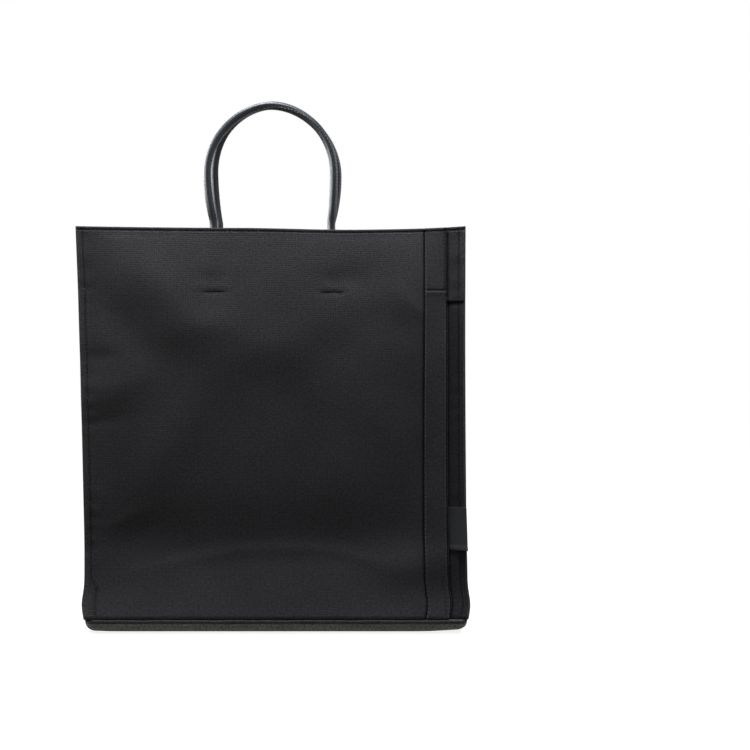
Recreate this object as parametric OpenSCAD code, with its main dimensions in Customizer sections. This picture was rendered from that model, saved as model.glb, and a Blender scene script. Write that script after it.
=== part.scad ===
// Canvas tote bag: flat front pocket, folded side gussets, boarded base, two rolled leather handles.
// X runs across the bag, the front faces -Y, Z is up, and the origin is under the middle of the base.

/* [Bag] */
// Height from the ground to the top hem
bag_height = 405; // [320:5:480]
// Width of the base, side to side
base_width = 376; // [320:2:440]
// Depth of the base, front to back
base_depth = 148; // [120:2:176]
// Width of the mouth, ridge to ridge
mouth_width = 401; // [350:1:450]
// Depth of the mouth, ridge to ridge
mouth_depth = 49; // [44:1:70]
// How far the middle of each hem bows in from its ridges
mouth_bow = 5; // [0:0.5:6]
// Outward bulge of the walls at half height
wall_belly = 2.2; // [0:0.2:6]

/* [Foot of the walls] */
// Extra outward flare of the walls where they meet the base
flare_out = 6.5; // [0:0.5:10]
// Height of the flare at the side ridges
flare_ridge_h = 45; // [30:1:60]
// Height of the flare in the middle of a wall
flare_middle_h = 78; // [60:1:100]

/* [Cloth] */
// Thickness of one layer of canvas
canvas_t = 1.2; // [0.8:0.1:1.6]
// Thickness of the facing tape behind the hem
facing_t = 1.0; // [0.6:0.1:1.2]
// Height of the facing tape behind the hem
facing_h = 76; // [72:1:100]
// Height of the narrow hem along the top of a gusset
gusset_hem_h = 12; // [8:1:20]
// Space left between two layers of cloth
layer_gap = 0.3; // [0.25:0.05:0.4]

/* [Gusset] */
// Width of the pinched and stitched fin along each ridge
ridge_fin = 5.5; // [4:0.5:7]
// Width of the fin where it runs out at the base
ridge_fin_foot = 2.5; // [2:0.5:4]
// Half of the gusset cloth, from the root of the fin to the middle crease
gusset_half = 68; // [64:1:74]
// Height above the ground of the point of the lower triangle
triangle_top = 84; // [70:1:100]
// Dip of the gusset's top edge at its middle crease
gusset_dip = 5; // [0:1:12]

/* [Front pocket] */
// Distance from the right ridge to the free edge of the pocket
pocket_edge_inset = 18.5; // [16:0.5:24]
// Width of the facing strip along the free edge
strip_w = 23.5; // [18:0.5:30]
// Space inside the flat pocket
pocket_gap = 0.4; // [0.4:0.1:1]
// Height of the patch that closes the pocket's edge under the hem
patch_h = 76; // [50:1:100]

/* [Base] */
// Plan radius of the base corners
base_corner_r = 11; // [10.5:0.5:24]
// Radius of the turned-up lower edge
base_edge_r = 10; // [9.5:0.5:10]
// Height of the base band under the piping
band_h = 9.5; // [8:0.5:9.5]
// Thickness of the base cloth
base_t = 1.6; // [1.2:0.1:2]
// Diameter of the piping cord
piping_d = 4; // [3:0.5:5]
// Thickness of the base board
board_t = 2.5; // [1.5:0.5:4]
// Space between the board and the band
board_margin = 1; // [0.5:0.5:4]

/* [Handles] */
// Diameter of a rolled handle
handle_d = 9; // [8:0.5:10]
// Wall of the leather round the core
leather_t = 1.3; // [1:0.1:1.6]
// Distance between the legs of a handle at the hem
handle_spacing = 120; // [100:2:140]
// Distance between the legs of a handle at its widest
handle_span = 132; // [110:2:150]
// Height of the arch above the hem
handle_rise = 139; // [110:1:160]
// Height of the round top of the arch
arch_h = 72; // [60:1:80]
// Height of the bend above the hem
bend_h = 8; // [7.5:0.5:10]
// Width of the flattened handle end inside the bag
end_w = 14; // [12:0.5:18]
// Thickness of the flattened handle end
end_t = 3; // [2.5:0.5:4]
// Distance from the hem down to the bar tacks
tack_drop = 66; // [56:1:70]
// Length of a bar tack
tack_w = 19; // [14:1:24]

/* [Label] */
// Width of the label
label_w = 18; // [14:1:18]
// Height of the label
label_h = 41; // [30:1:50]
// Thickness of the label
label_t = 0.8; // [0.6:0.1:1]
// Height of the middle of the label above the ground
label_z = 100; // [85:1:200]
// Angle at which the label stands off the wall
label_angle = 18; // [10:1:30]

/* [Hidden] */

canvas_colour = [0.15, 0.15, 0.16];
lining_colour = [0.12, 0.12, 0.13];
base_colour = [0.23, 0.23, 0.20];
leather_colour = [0.06, 0.06, 0.07];
core_colour = [0.78, 0.75, 0.68];
board_colour = [0.10, 0.10, 0.11];
thread_colour = [0.05, 0.05, 0.06];
label_colour = [0.16, 0.18, 0.18];

$fn = 48;
wall_rows = 18;      // rows of facets up a wall
wall_cols = 12;      // columns of facets across a wall
row_crowding = 1.5;  // above 1, rows lie closer together near the base
mouth_power = 1.6;   // how late the ridges spread towards the mouth
corner_fade_h = 30;  // height over which a ridge leaves the rounded base corner
ridge_overhang = 2;  // how far a ridge's foot stands out past the rounded base corner
fin_fade_h = 46;     // height over which the ridge fin widens
crease_half = 3;     // half width of the rounded middle crease of a gusset
crease_depth = 1;    // how far that crease bulges in
facing_inset = 9;    // distance from the fin's root to the end of a facing
hem_skip = 14;       // length of gusset cloth left bare at each end of its hem
seat_gap = 0.1;      // space between the piping and what it lies between
stitch_gap = 0.15;   // space between a handle end or a thread and the cloth under it
touch_gap = 0.4;     // space between the two handles where they lean together
label_gap = 0.8;     // space in which the label bends beside its sewn edge
label_seam_w = 2;    // width of the label's sewn edge
thread_t = 0.7;      // thickness of a bar tack
thread_h = 1.6;      // height of a bar tack
ring_sides = 12;     // sides of a handle's section
end_round_drop = 14; // a handle end is round from here below the hem up
end_flat_drop = 40;  // and flat from here down
tack_margin = 5;     // length of a handle end below its bar tack
neck_r = 2.2;        // radius of a handle end's neck under the bend
neck_gap = 0.9;      // space between the neck and the sphere that the bend turns in

handle_r = handle_d / 2;
core_r = handle_r - leather_t - seat_gap;
corner_cut = max(0, base_corner_r * (1 - 1 / sqrt(2)) - ridge_overhang);
wall_foot = band_h + piping_d + 2 * seat_gap;
front_layers = 2 * canvas_t + pocket_gap;
back_layers = canvas_t;
gusset_hem_z = bag_height - gusset_hem_h;
edge_reach = base_edge_r * sin(acos(1 - band_h / base_edge_r));
flat_r = base_corner_r - edge_reach;

hem_half_x = handle_spacing / 2;
hem_u = hem_half_x / ridge_x(bag_height);
front_inside = front_layers + facing_t + layer_gap + stitch_gap;
back_inside = back_layers + facing_t + layer_gap + stitch_gap;
bend_z = bag_height + bend_h;
arch_top = bag_height + handle_rise - handle_r;
end_round_z = bag_height - end_round_drop;
end_flat_z = bag_height - end_flat_drop;
end_low_z = bag_height - tack_drop - tack_margin;

label_x = pocket_edge_x(label_z + label_h / 2) + layer_gap;
label_lean = wall_lean(label_x / ridge_x(label_z), label_z);
label_face = wall_y(label_x / ridge_x(label_z), label_z) - canvas_t - pocket_gap;

// ---- Shape of the walls ----

function mix(a, b, t) = a + (b - a) * t;
function rise(z) = (z - wall_foot) / (bag_height - wall_foot);
function fade(z, h) = pow(max(0, 1 - (z - wall_foot) / h), 2);
function rows(low, high, count) = [
    for (i = [0 : count]) mix(low, high, pow(i / count, row_crowding))
];

// Distance from the middle of the bag out to a ridge at height z.
function ridge_x(z) =
    base_width / 2
    + (mouth_width - base_width) / 2 * pow(z / bag_height, mouth_power)
    - corner_cut * fade(z, corner_fade_h);

// Rounding of a wall's foot towards its ridges, 0 in the middle and 1 at a ridge.
function corner_share(u) =
    let (start = 1 - 2 * base_corner_r / base_width)
    pow(max(0, (abs(u) - start) / (1 - start)), 2);

// Distance from the middle plane out to a wall's outer face, at fraction u of the ridge distance.
function wall_y(u, z) =
    mix(base_depth / 2 - flare_out, mouth_depth / 2, rise(z))
    + wall_belly * sin(180 * rise(z))
    + flare_out * fade(z, mix(flare_middle_h, flare_ridge_h, u * u))
    - mouth_bow * pow(rise(z), 2) * (1 - u * u)
    - corner_cut * fade(z, corner_fade_h) * corner_share(u);

// Inward lean of a wall in degrees at height z.
function wall_lean(u, z) = atan((wall_y(u, z - 1) - wall_y(u, z + 1)) / 2);

// Outer x of the pocket's seam and free edge at height z.
function pocket_edge_x(z) = ridge_x(z) - pocket_edge_inset;
function pocket_seam_x(z) = pocket_edge_x(z) - strip_w;

// ---- Closed sheets ----

// Faces of a closed sheet whose two sides are grids with the same rows and columns.
function sheet_faces(nr, nc) =
    let (
        a = function(r, c) r * nc + c,
        b = function(r, c) nr * nc + r * nc + c
    )
    concat(
        [for (r = [0 : nr - 2], c = [0 : nc - 2]) each [
            [a(r, c), a(r + 1, c), a(r, c + 1)],
            [a(r + 1, c), a(r + 1, c + 1), a(r, c + 1)],
            [b(r, c), b(r, c + 1), b(r + 1, c)],
            [b(r + 1, c), b(r, c + 1), b(r + 1, c + 1)]
        ]],
        [for (c = [0 : nc - 2]) each [
            [a(0, c), a(0, c + 1), b(0, c + 1), b(0, c)],
            [a(nr - 1, c), b(nr - 1, c), b(nr - 1, c + 1), a(nr - 1, c + 1)]
        ]],
        [for (r = [0 : nr - 2]) each [
            [a(r, 0), b(r, 0), b(r + 1, 0), a(r + 1, 0)],
            [a(r, nc - 1), a(r + 1, nc - 1), b(r + 1, nc - 1), b(r, nc - 1)]
        ]]
    );

// A sheet between two grids; flip says that the first grid is the inner side.
module sheet(first, second, flip = false) {
    nr = len(first);
    nc = len(first[0]);
    faces = sheet_faces(nr, nc);
    points = [for (grid = [first, second], row = grid, p = row) p];
    polyhedron(points, flip ? [for (f = faces) [for (i = [len(f) - 1 : -1 : 0]) f[i]]] : faces);
}

// A piece of a wall: side is -1 for the front and 1 for the back, from and to give x by height,
// and depth is the distance of its outer side behind the wall's outer face.
module wall_sheet(side, from, to, heights, depth, t, cols = wall_cols) {
    grid = function(d) [
        for (z = heights) [
            for (k = [0 : cols])
                let (x = mix(from(z), to(z), k / cols))
                [x, side * (wall_y(x / ridge_x(z), z) - d), z]
        ]
    ];
    sheet(grid(depth), grid(depth + t), side > 0);
}

// ---- Gussets ----

function fin_w(z) = mix(ridge_fin, ridge_fin_foot, fade(z, fin_fade_h));

// Depth of the inward fold at height z, measured from the root of the fin.
function fold_at(z) = sqrt(max(1, pow(gusset_half, 2) - pow(wall_y(1, z) - front_layers, 2)));
function fold(z) =
    z < triangle_top
        ? fold_at(triangle_top) * (z - wall_foot) / (triangle_top - wall_foot)
        : fold_at(z);

// Half width of the flat lower triangle at height z.
function triangle_y(z) =
    let (foot = wall_y(1, wall_foot) - front_layers - ridge_fin)
    max(crease_half, foot * (1 - (z - wall_foot) / (triangle_top - wall_foot)));

// Section of the right gusset's inner face at height z, from the front ridge to the back ridge.
function gusset_line(z) =
    let (
        tip = ridge_x(z),
        root = tip - fin_w(z),
        front = -(wall_y(1, z) - front_layers - layer_gap),
        back = wall_y(1, z) - back_layers - layer_gap,
        deep = root - fold(z),
        flat = triangle_y(z)
    )
    [
        [tip, front], [root, front],
        [mix(root, deep, 0.5), mix(front, -flat, 0.5)], [deep, -flat],
        [deep - crease_depth * rise(z), 0],
        [deep, flat], [mix(root, deep, 0.5), mix(back, flat, 0.5)],
        [root, back], [tip, back]
    ];

function unit(v) = v / norm(v);
function right_of(v) = [v.y, -v.x];
function miter(a, b, d) =
    let (m = right_of(unit(a)), n = right_of(unit(b)))
    (m + n) * d / (1 + m * n);
function offset_line(p, d) =
    let (last = len(p) - 1)
    [for (i = [0 : last]) p[i] + miter(
        i == 0 ? p[1] - p[0] : p[i] - p[i - 1],
        i == last ? p[i] - p[i - 1] : p[i + 1] - p[i],
        d
    )];

// One row of gusset points from a section line; the rows of the hem dip towards the crease.
function gusset_row(line, z) =
    let (dip = z < gusset_hem_z ? 0 : gusset_dip)
    [for (p = line) [p.x, p.y, z - dip * (1 - pow(min(1, abs(p.y) / wall_y(1, z)), 2))]];

// The right gusset is drawn as it is, and the left one is its mirror image.
module gusset_sheet() {
    heights = concat(rows(wall_foot, gusset_hem_z, wall_rows), [bag_height]);
    grid = function(d) [for (z = heights) gusset_row(offset_line(gusset_line(z), d), z)];
    sheet(grid(canvas_t), grid(0));
}

// Part of a section line, cut to begin and end a given length from its ends.
function trimmed(p, cut) =
    let (
        last = len(p) - 1,
        head = p[1] + unit(p[2] - p[1]) * cut,
        tail = p[last - 1] + unit(p[last - 2] - p[last - 1]) * cut
    )
    [head, for (i = [2 : last - 2]) p[i], tail];

module gusset_hem_sheet() {
    grid = function(d) [
        for (z = [gusset_hem_z, bag_height])
            gusset_row(offset_line(trimmed(gusset_line(z), hem_skip), d), z)
    ];
    sheet(grid(-layer_gap), grid(-layer_gap - facing_t));
}

module both_sides(side) {
    mirror([side < 0 ? 1 : 0, 0, 0]) children();
}

// ---- Base ----

// Runs a section round a rectangle of w x d with corner radius r. In the section, x is the
// distance out from the corner's axis and y is the height.
module round_the_base(w, d, r) {
    for (i = [0 : 3]) {
        odd = i % 2;
        run = odd ? w - 2 * r : d - 2 * r;
        out = odd ? d / 2 - r : w / 2 - r;
        rotate([0, 0, 90 * i]) {
            translate([out, 0, 0]) rotate([90, 0, 0]) linear_extrude(run, center = true) children();
            translate([out, run / 2, 0]) rotate_extrude(angle = 90) children();
        }
    }
}

// Section of the turned-up edge, with x from the corner's axis.
module edge_section() {
    translate([flat_r, base_edge_r]) intersection() {
        difference() {
            circle(base_edge_r);
            circle(base_edge_r - base_t);
        }
        translate([0, -base_edge_r]) square([base_edge_r, band_h]);
    }
}

module rounded_plate(w, d, r, t) {
    linear_extrude(t) union() {
        square([w - 2 * r, d], center = true);
        square([w, d - 2 * r], center = true);
        for (x = [-1, 1], y = [-1, 1])
            translate([x * (w / 2 - r), y * (d / 2 - r)]) circle(r);
    }
}

// ---- Handles ----

// Distance of a handle's bend from the middle plane, for the depth of the layers outside it.
function bend_y(inside) = wall_y(hem_u, bag_height) - inside - handle_r;
function loop_reach(inside) = norm([arch_top - bend_z, bend_y(inside) - handle_r - touch_gap / 2]);

// Middle line of a loop in its own plane, from the left bend to the right one.
function loop_side(reach) =
    let (spring = reach - arch_h, half = handle_span / 2)
    concat(
        [for (i = [0 : 5])
            let (s = spring * i / 6)
            [-mix(half, hem_half_x, pow(1 - s / spring, 2)), s]],
        [for (a = [0 : 10 : 90]) [-half * cos(a), spring + arch_h * sin(a)]]
    );
function loop_line(reach) =
    let (left = loop_side(reach), last = len(left) - 1)
    concat(left, [for (i = [last - 1 : -1 : 0]) [-left[i].x, left[i].y]]);

// Places a point of the loop's plane in the bag: side is -1 for the front and 1 for the back.
function loop_place(p, side, inside) =
    let (
        reach = loop_reach(inside),
        up = (arch_top - bend_z) / reach,
        in = (bend_y(inside) - handle_r - touch_gap / 2) / reach
    )
    [p.x, side * (bend_y(inside) - in * p.y), bend_z + up * p.y];

// Rings of radius r along a line in a plane; each ring turns with the line.
function ring_points(line, r, side, inside) =
    let (
        last = len(line) - 1,
        across = loop_place([0, 0], side, inside),
        along = unit(loop_place([0, 1], side, inside) - across),
        out = cross([1, 0, 0], along)
    )
    [for (i = [0 : last])
        let (
            t = unit(line[min(i + 1, last)] - line[max(i - 1, 0)]),
            sideways = t.y * [1, 0, 0] - t.x * along,
            middle = loop_place(line[i], side, inside),
            radius = is_list(r) ? r[i] : r
        )
        [for (k = [0 : ring_sides - 1])
            let (a = 360 * k / ring_sides)
            middle + radius * (cos(a) * sideways + sin(a) * out)]
    ];

// Closed solid through rings: a pipe when inner rings are given, otherwise a rod.
module rings_solid(outer, inner = []) {
    n = len(outer[0]);
    last = len(outer) - 1;
    start = len(outer) * n;
    wall = function(base, turn) [
        for (i = [0 : last - 1], k = [0 : n - 1])
            let (
                a = base + i * n + k,
                b = base + i * n + (k + 1) % n
            )
            each turn ? [[a, a + n, b], [b, a + n, b + n]] : [[a, b, a + n], [b, b + n, a + n]]
    ];
    ends = inner == []
        ? [[for (k = [n - 1 : -1 : 0]) k], [for (k = [0 : n - 1]) last * n + k]]
        : [for (k = [0 : n - 1])
            let (m = (k + 1) % n, top = last * n)
            each [
                [m, k, start + k, start + m],
                [top + k, top + m, start + top + m, start + top + k]
            ]];
    polyhedron(
        [for (set = [outer, inner], ring = set, p = ring) p],
        concat(wall(0, false), inner == [] ? [] : wall(start, true), ends)
    );
}

module handle_loop(side, inside) {
    line = loop_line(loop_reach(inside));
    rings_solid(
        ring_points(line, handle_r, side, inside),
        ring_points(line, handle_r - leather_t, side, inside)
    );
}

// The core reaches past the loop with rounded ends, which stay inside the bend's sphere.
module handle_core(side, inside) {
    line = loop_line(loop_reach(inside));
    steps = [handle_r, handle_r - 0.5, handle_r - 2, 0.6];
    radii = [0.9, 1.8, core_r - 0.3, core_r];
    left = [for (s = steps) [line[0].x, -s]];
    right = [for (i = [len(steps) - 1 : -1 : 0]) [-line[0].x, -steps[i]]];
    rings_solid(ring_points(
        concat(left, line, right),
        concat(radii, [for (p = line) core_r], [for (i = [len(radii) - 1 : -1 : 0]) radii[i]]),
        side, inside
    ));
}

// The fixed end of a handle: round at the hem, flattened and sewn down at the bar tack.
module handle_end(side, x, inside) {
    heights = concat(
        [for (i = [0 : 2]) mix(end_low_z, end_flat_z, i / 2)],
        [for (i = [1 : 4]) mix(end_flat_z, end_round_z, i / 4)],
        [bag_height - 5, bag_height + 0.5, bend_z - handle_r - neck_gap]
    );
    rings_solid([
        for (z = heights)
            let (
                t = min(1, max(0, (z - end_flat_z) / (end_round_z - end_flat_z))),
                soft = t * t * (3 - 2 * t),
                neck = z > bag_height + 1,
                rx = neck ? neck_r : mix(end_w / 2, handle_r, soft),
                ry = neck ? neck_r : mix(end_t / 2, handle_r, soft),
                back = wall_y(x / ridge_x(bag_height), min(z, bag_height)) - inside,
                y = neck ? bend_y(inside) : back - ry
            )
            [for (k = [0 : ring_sides - 1])
                let (a = 360 * k / ring_sides)
                [x + rx * cos(a), side * y - ry * sin(a), z]]
    ]);
}

// ---- Sub-parts ----

module front_panel() {
    color(canvas_colour) wall_sheet(
        -1, function(z) -ridge_x(z), function(z) pocket_seam_x(z) - layer_gap,
        rows(wall_foot, bag_height, wall_rows), 0, canvas_t
    );
}

module pocket_edge_strip() {
    color(canvas_colour) wall_sheet(
        -1, function(z) pocket_seam_x(z), function(z) pocket_edge_x(z),
        rows(wall_foot, bag_height, wall_rows), 0, canvas_t, 2
    );
}

module front_inner_wall() {
    color(canvas_colour) wall_sheet(
        -1, function(z) -ridge_x(z), function(z) ridge_x(z),
        rows(wall_foot, bag_height, wall_rows), canvas_t + pocket_gap, canvas_t
    );
}

module corner_patch() {
    color(canvas_colour) wall_sheet(
        -1, function(z) pocket_edge_x(z) + layer_gap, function(z) ridge_x(z),
        rows(bag_height - patch_h, bag_height, 4), layer_gap, canvas_t, 2
    );
}

module back_panel() {
    color(canvas_colour) wall_sheet(
        1, function(z) -ridge_x(z), function(z) ridge_x(z),
        rows(wall_foot, bag_height, wall_rows), 0, canvas_t
    );
}

module left_gusset() {
    color(canvas_colour) both_sides(-1) gusset_sheet();
}

module right_gusset() {
    color(canvas_colour) both_sides(1) gusset_sheet();
}

module facing(side, layers) {
    reach = function(z) ridge_x(z) - fin_w(z) - facing_inset;
    color(lining_colour) wall_sheet(
        side, function(z) -reach(z), reach,
        rows(bag_height - facing_h, bag_height, 5), layers + layer_gap, facing_t
    );
}

module front_facing() {
    facing(-1, front_layers);
}

module back_facing() {
    facing(1, back_layers);
}

module left_gusset_hem() {
    color(lining_colour) both_sides(-1) gusset_hem_sheet();
}

module right_gusset_hem() {
    color(lining_colour) both_sides(1) gusset_hem_sheet();
}

module base_panel() {
    color(base_colour) union() {
        round_the_base(base_width - 2 * seat_gap, base_depth - 2 * seat_gap, base_corner_r)
            edge_section();
        rounded_plate(
            base_width - 2 * seat_gap - 2 * edge_reach,
            base_depth - 2 * seat_gap - 2 * edge_reach,
            flat_r, base_t
        );
    }
}

module base_board() {
    shrink = 2 * (board_margin + edge_reach);
    color(board_colour) translate([0, 0, base_t])
        rounded_plate(base_width - shrink, base_depth - shrink, flat_r, board_t);
}

module base_piping() {
    r = piping_d / 2;
    color(base_colour) difference() {
        round_the_base(base_width, base_depth, base_corner_r)
            translate([base_corner_r - r, band_h + seat_gap + r]) circle(r);
        translate([base_width / 2, 0, band_h + r]) cube([3 * piping_d, 0.5, 3 * piping_d], center = true);
    }
}

module front_handle_loop() {
    color(leather_colour) handle_loop(-1, front_inside);
}

module front_handle_core() {
    color(core_colour) handle_core(-1, front_inside);
}

module rear_handle_loop() {
    color(leather_colour) handle_loop(1, back_inside);
}

module rear_handle_core() {
    color(core_colour) handle_core(1, back_inside);
}

module front_handle_end_left() {
    color(leather_colour) handle_end(-1, -hem_half_x, front_inside);
}

module front_handle_end_right() {
    color(leather_colour) handle_end(-1, hem_half_x, front_inside);
}

module rear_handle_end_left() {
    color(leather_colour) handle_end(1, -hem_half_x, back_inside);
}

module rear_handle_end_right() {
    color(leather_colour) handle_end(1, hem_half_x, back_inside);
}

module bar_tacks() {
    z = bag_height - tack_drop;
    color(thread_colour)
        for (side = [-1, 1], x = [-hem_half_x, hem_half_x])
            let (u = x / ridge_x(z))
            translate([x, side * (wall_y(u, z) + stitch_gap + thread_t / 2), z])
                rotate([side * wall_lean(u, z), 0, 0])
                    cube([tack_w, thread_t, thread_h], center = true);
}

// Puts a piece on the recessed wall beside the pocket's edge, with -Y as its outward side.
module on_label_place() {
    translate([label_x, -label_face, label_z]) rotate([-label_lean, 0, 0]) children();
}

module label_seam() {
    color(label_colour) on_label_place()
        translate([0, -stitch_gap - label_t / 2, -label_h / 2])
            cube([label_seam_w, label_t / 2, label_h]);
}

module label() {
    color(label_colour) on_label_place()
        translate([label_seam_w + label_gap, -stitch_gap - label_t / 2, 0]) rotate([0, 0, -label_angle])
            translate([0, -label_t / 2, -label_h / 2])
                cube([label_w - label_seam_w - label_gap, label_t, label_h]);
}

front_panel();
pocket_edge_strip();
front_inner_wall();
corner_patch();
back_panel();
left_gusset();
right_gusset();
front_facing();
back_facing();
left_gusset_hem();
right_gusset_hem();
base_panel();
base_board();
base_piping();
front_handle_loop();
front_handle_core();
rear_handle_loop();
rear_handle_core();
front_handle_end_left();
front_handle_end_right();
rear_handle_end_left();
rear_handle_end_right();
bar_tacks();
label();
label_seam();
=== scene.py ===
"""Canvas tote bag with a flat front pocket, folded gussets and two rolled leather handles.

Lengths are in millimetres in the frame's own axes until a mesh is made, which turns them into
metres. Shapes repeat those of the part's solids, and the folds, dents and seams are added here.
"""

import logging
import math
import random
from dataclasses import dataclass, field
from enum import Enum
from typing import Callable, Sequence

import bmesh
import bpy
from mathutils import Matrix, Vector


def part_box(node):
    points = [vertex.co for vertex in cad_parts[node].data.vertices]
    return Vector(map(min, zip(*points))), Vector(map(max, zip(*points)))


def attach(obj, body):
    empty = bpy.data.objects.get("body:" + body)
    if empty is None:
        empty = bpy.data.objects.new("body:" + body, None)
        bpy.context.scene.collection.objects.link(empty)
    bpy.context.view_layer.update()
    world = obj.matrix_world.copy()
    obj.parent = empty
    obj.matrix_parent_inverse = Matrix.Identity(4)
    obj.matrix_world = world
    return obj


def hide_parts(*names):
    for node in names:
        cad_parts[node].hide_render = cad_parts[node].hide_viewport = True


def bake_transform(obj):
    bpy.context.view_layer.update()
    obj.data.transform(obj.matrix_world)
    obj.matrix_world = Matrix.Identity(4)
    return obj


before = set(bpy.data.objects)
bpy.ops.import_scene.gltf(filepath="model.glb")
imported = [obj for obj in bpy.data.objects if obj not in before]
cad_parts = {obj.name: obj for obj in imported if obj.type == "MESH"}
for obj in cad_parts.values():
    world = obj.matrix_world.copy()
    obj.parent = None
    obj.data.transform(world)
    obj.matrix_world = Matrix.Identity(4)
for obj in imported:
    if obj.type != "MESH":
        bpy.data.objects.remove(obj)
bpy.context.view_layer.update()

MM = 0.001
CLOTH_UV = "cloth"
WEAR_AND_SHADE = "wear_and_shade"  # how rubbed a point is, up to 1, or how much painted shade darkens it in a seam, slit or fold, down to -1
WAVE_PITCH = 0.314159  # distance between a wave texture's crests at a scale of 1, in metres

# Blender's names of the nodes used most.
MATH = "ShaderNodeMath"
VECTOR_MATH = "ShaderNodeVectorMath"
MIX = "ShaderNodeMix"
RANGE = "ShaderNodeMapRange"
NOISE = "ShaderNodeTexNoise"
WAVE = "ShaderNodeTexWave"

Grid = list[list[Vector]]
Line = Callable[[float], float]
log = logging.getLogger("tote_bag")


class Side(Enum):
    """The two walls of the bag, valued by the sign of Y on which they lie."""

    FRONT = -1
    BACK = 1


class Hand(Enum):
    """The two gussets of the bag, valued by the sign of X on which they lie."""

    LEFT = -1
    RIGHT = 1


# ---- Colour and shader nodes ----


def linear(code: str) -> tuple[float, float, float, float]:
    """Turn an sRGB hex colour into linear values.

    Args:
        code: Six hex digits with a leading #.

    Returns:
        Linear red, green and blue, and a fourth value of 1.
    """
    parts = [int(code[i : i + 2], 16) / 255 for i in (1, 3, 5)]
    low = [c / 12.92 if c <= 0.04045 else ((c + 0.055) / 1.055) ** 2.4 for c in parts]
    return (low[0], low[1], low[2], 1.0)


def add_node(
    tree: bpy.types.NodeTree, kind: str, inputs: dict | None = None, **settings: object
) -> bpy.types.Node:
    """Add one shader node with its settings, values and links.

    Args:
        tree: Node tree to add to.
        kind: Blender's name of the node.
        inputs: Value, or socket to link from, for each input by name or number.
        settings: Properties of the node itself.

    Returns:
        The new node.
    """
    node = tree.nodes.new(kind)
    for name, value in settings.items():
        setattr(node, name, value)
    for name, value in (inputs or {}).items():
        if isinstance(value, bpy.types.NodeSocket):
            tree.links.new(value, node.inputs[name])
        else:
            node.inputs[name].default_value = value
    return node


def new_material(name: str) -> tuple[bpy.types.Material, bpy.types.NodeTree]:
    """Make an empty node material.

    Args:
        name: Name of the material.

    Returns:
        The material and its node tree.
    """
    material = bpy.data.materials.new(name)
    material.use_nodes = True
    material.node_tree.nodes.clear()
    return material, material.node_tree


def finish_material(
    tree: bpy.types.NodeTree,
    height: bpy.types.NodeSocket,
    strength: float,
    relief: float,
    values: dict[str, object],
) -> None:
    """Join a material's relief, the values of its shader and its output.

    Args:
        tree: Node tree to add to.
        height: Socket that draws the relief.
        strength: How strongly the relief shows.
        relief: Height of the relief, in metres.
        values: Value or socket for each input of the shader.
    """
    bump = add_node(
        tree, "ShaderNodeBump", {"Height": height, "Strength": strength, "Distance": relief}
    ).outputs[0]
    shader = add_node(tree, "ShaderNodeBsdfPrincipled", {**values, "IOR": 1.5, "Normal": bump})
    add_node(tree, "ShaderNodeOutputMaterial", {"Surface": shader.outputs[0]})


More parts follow.
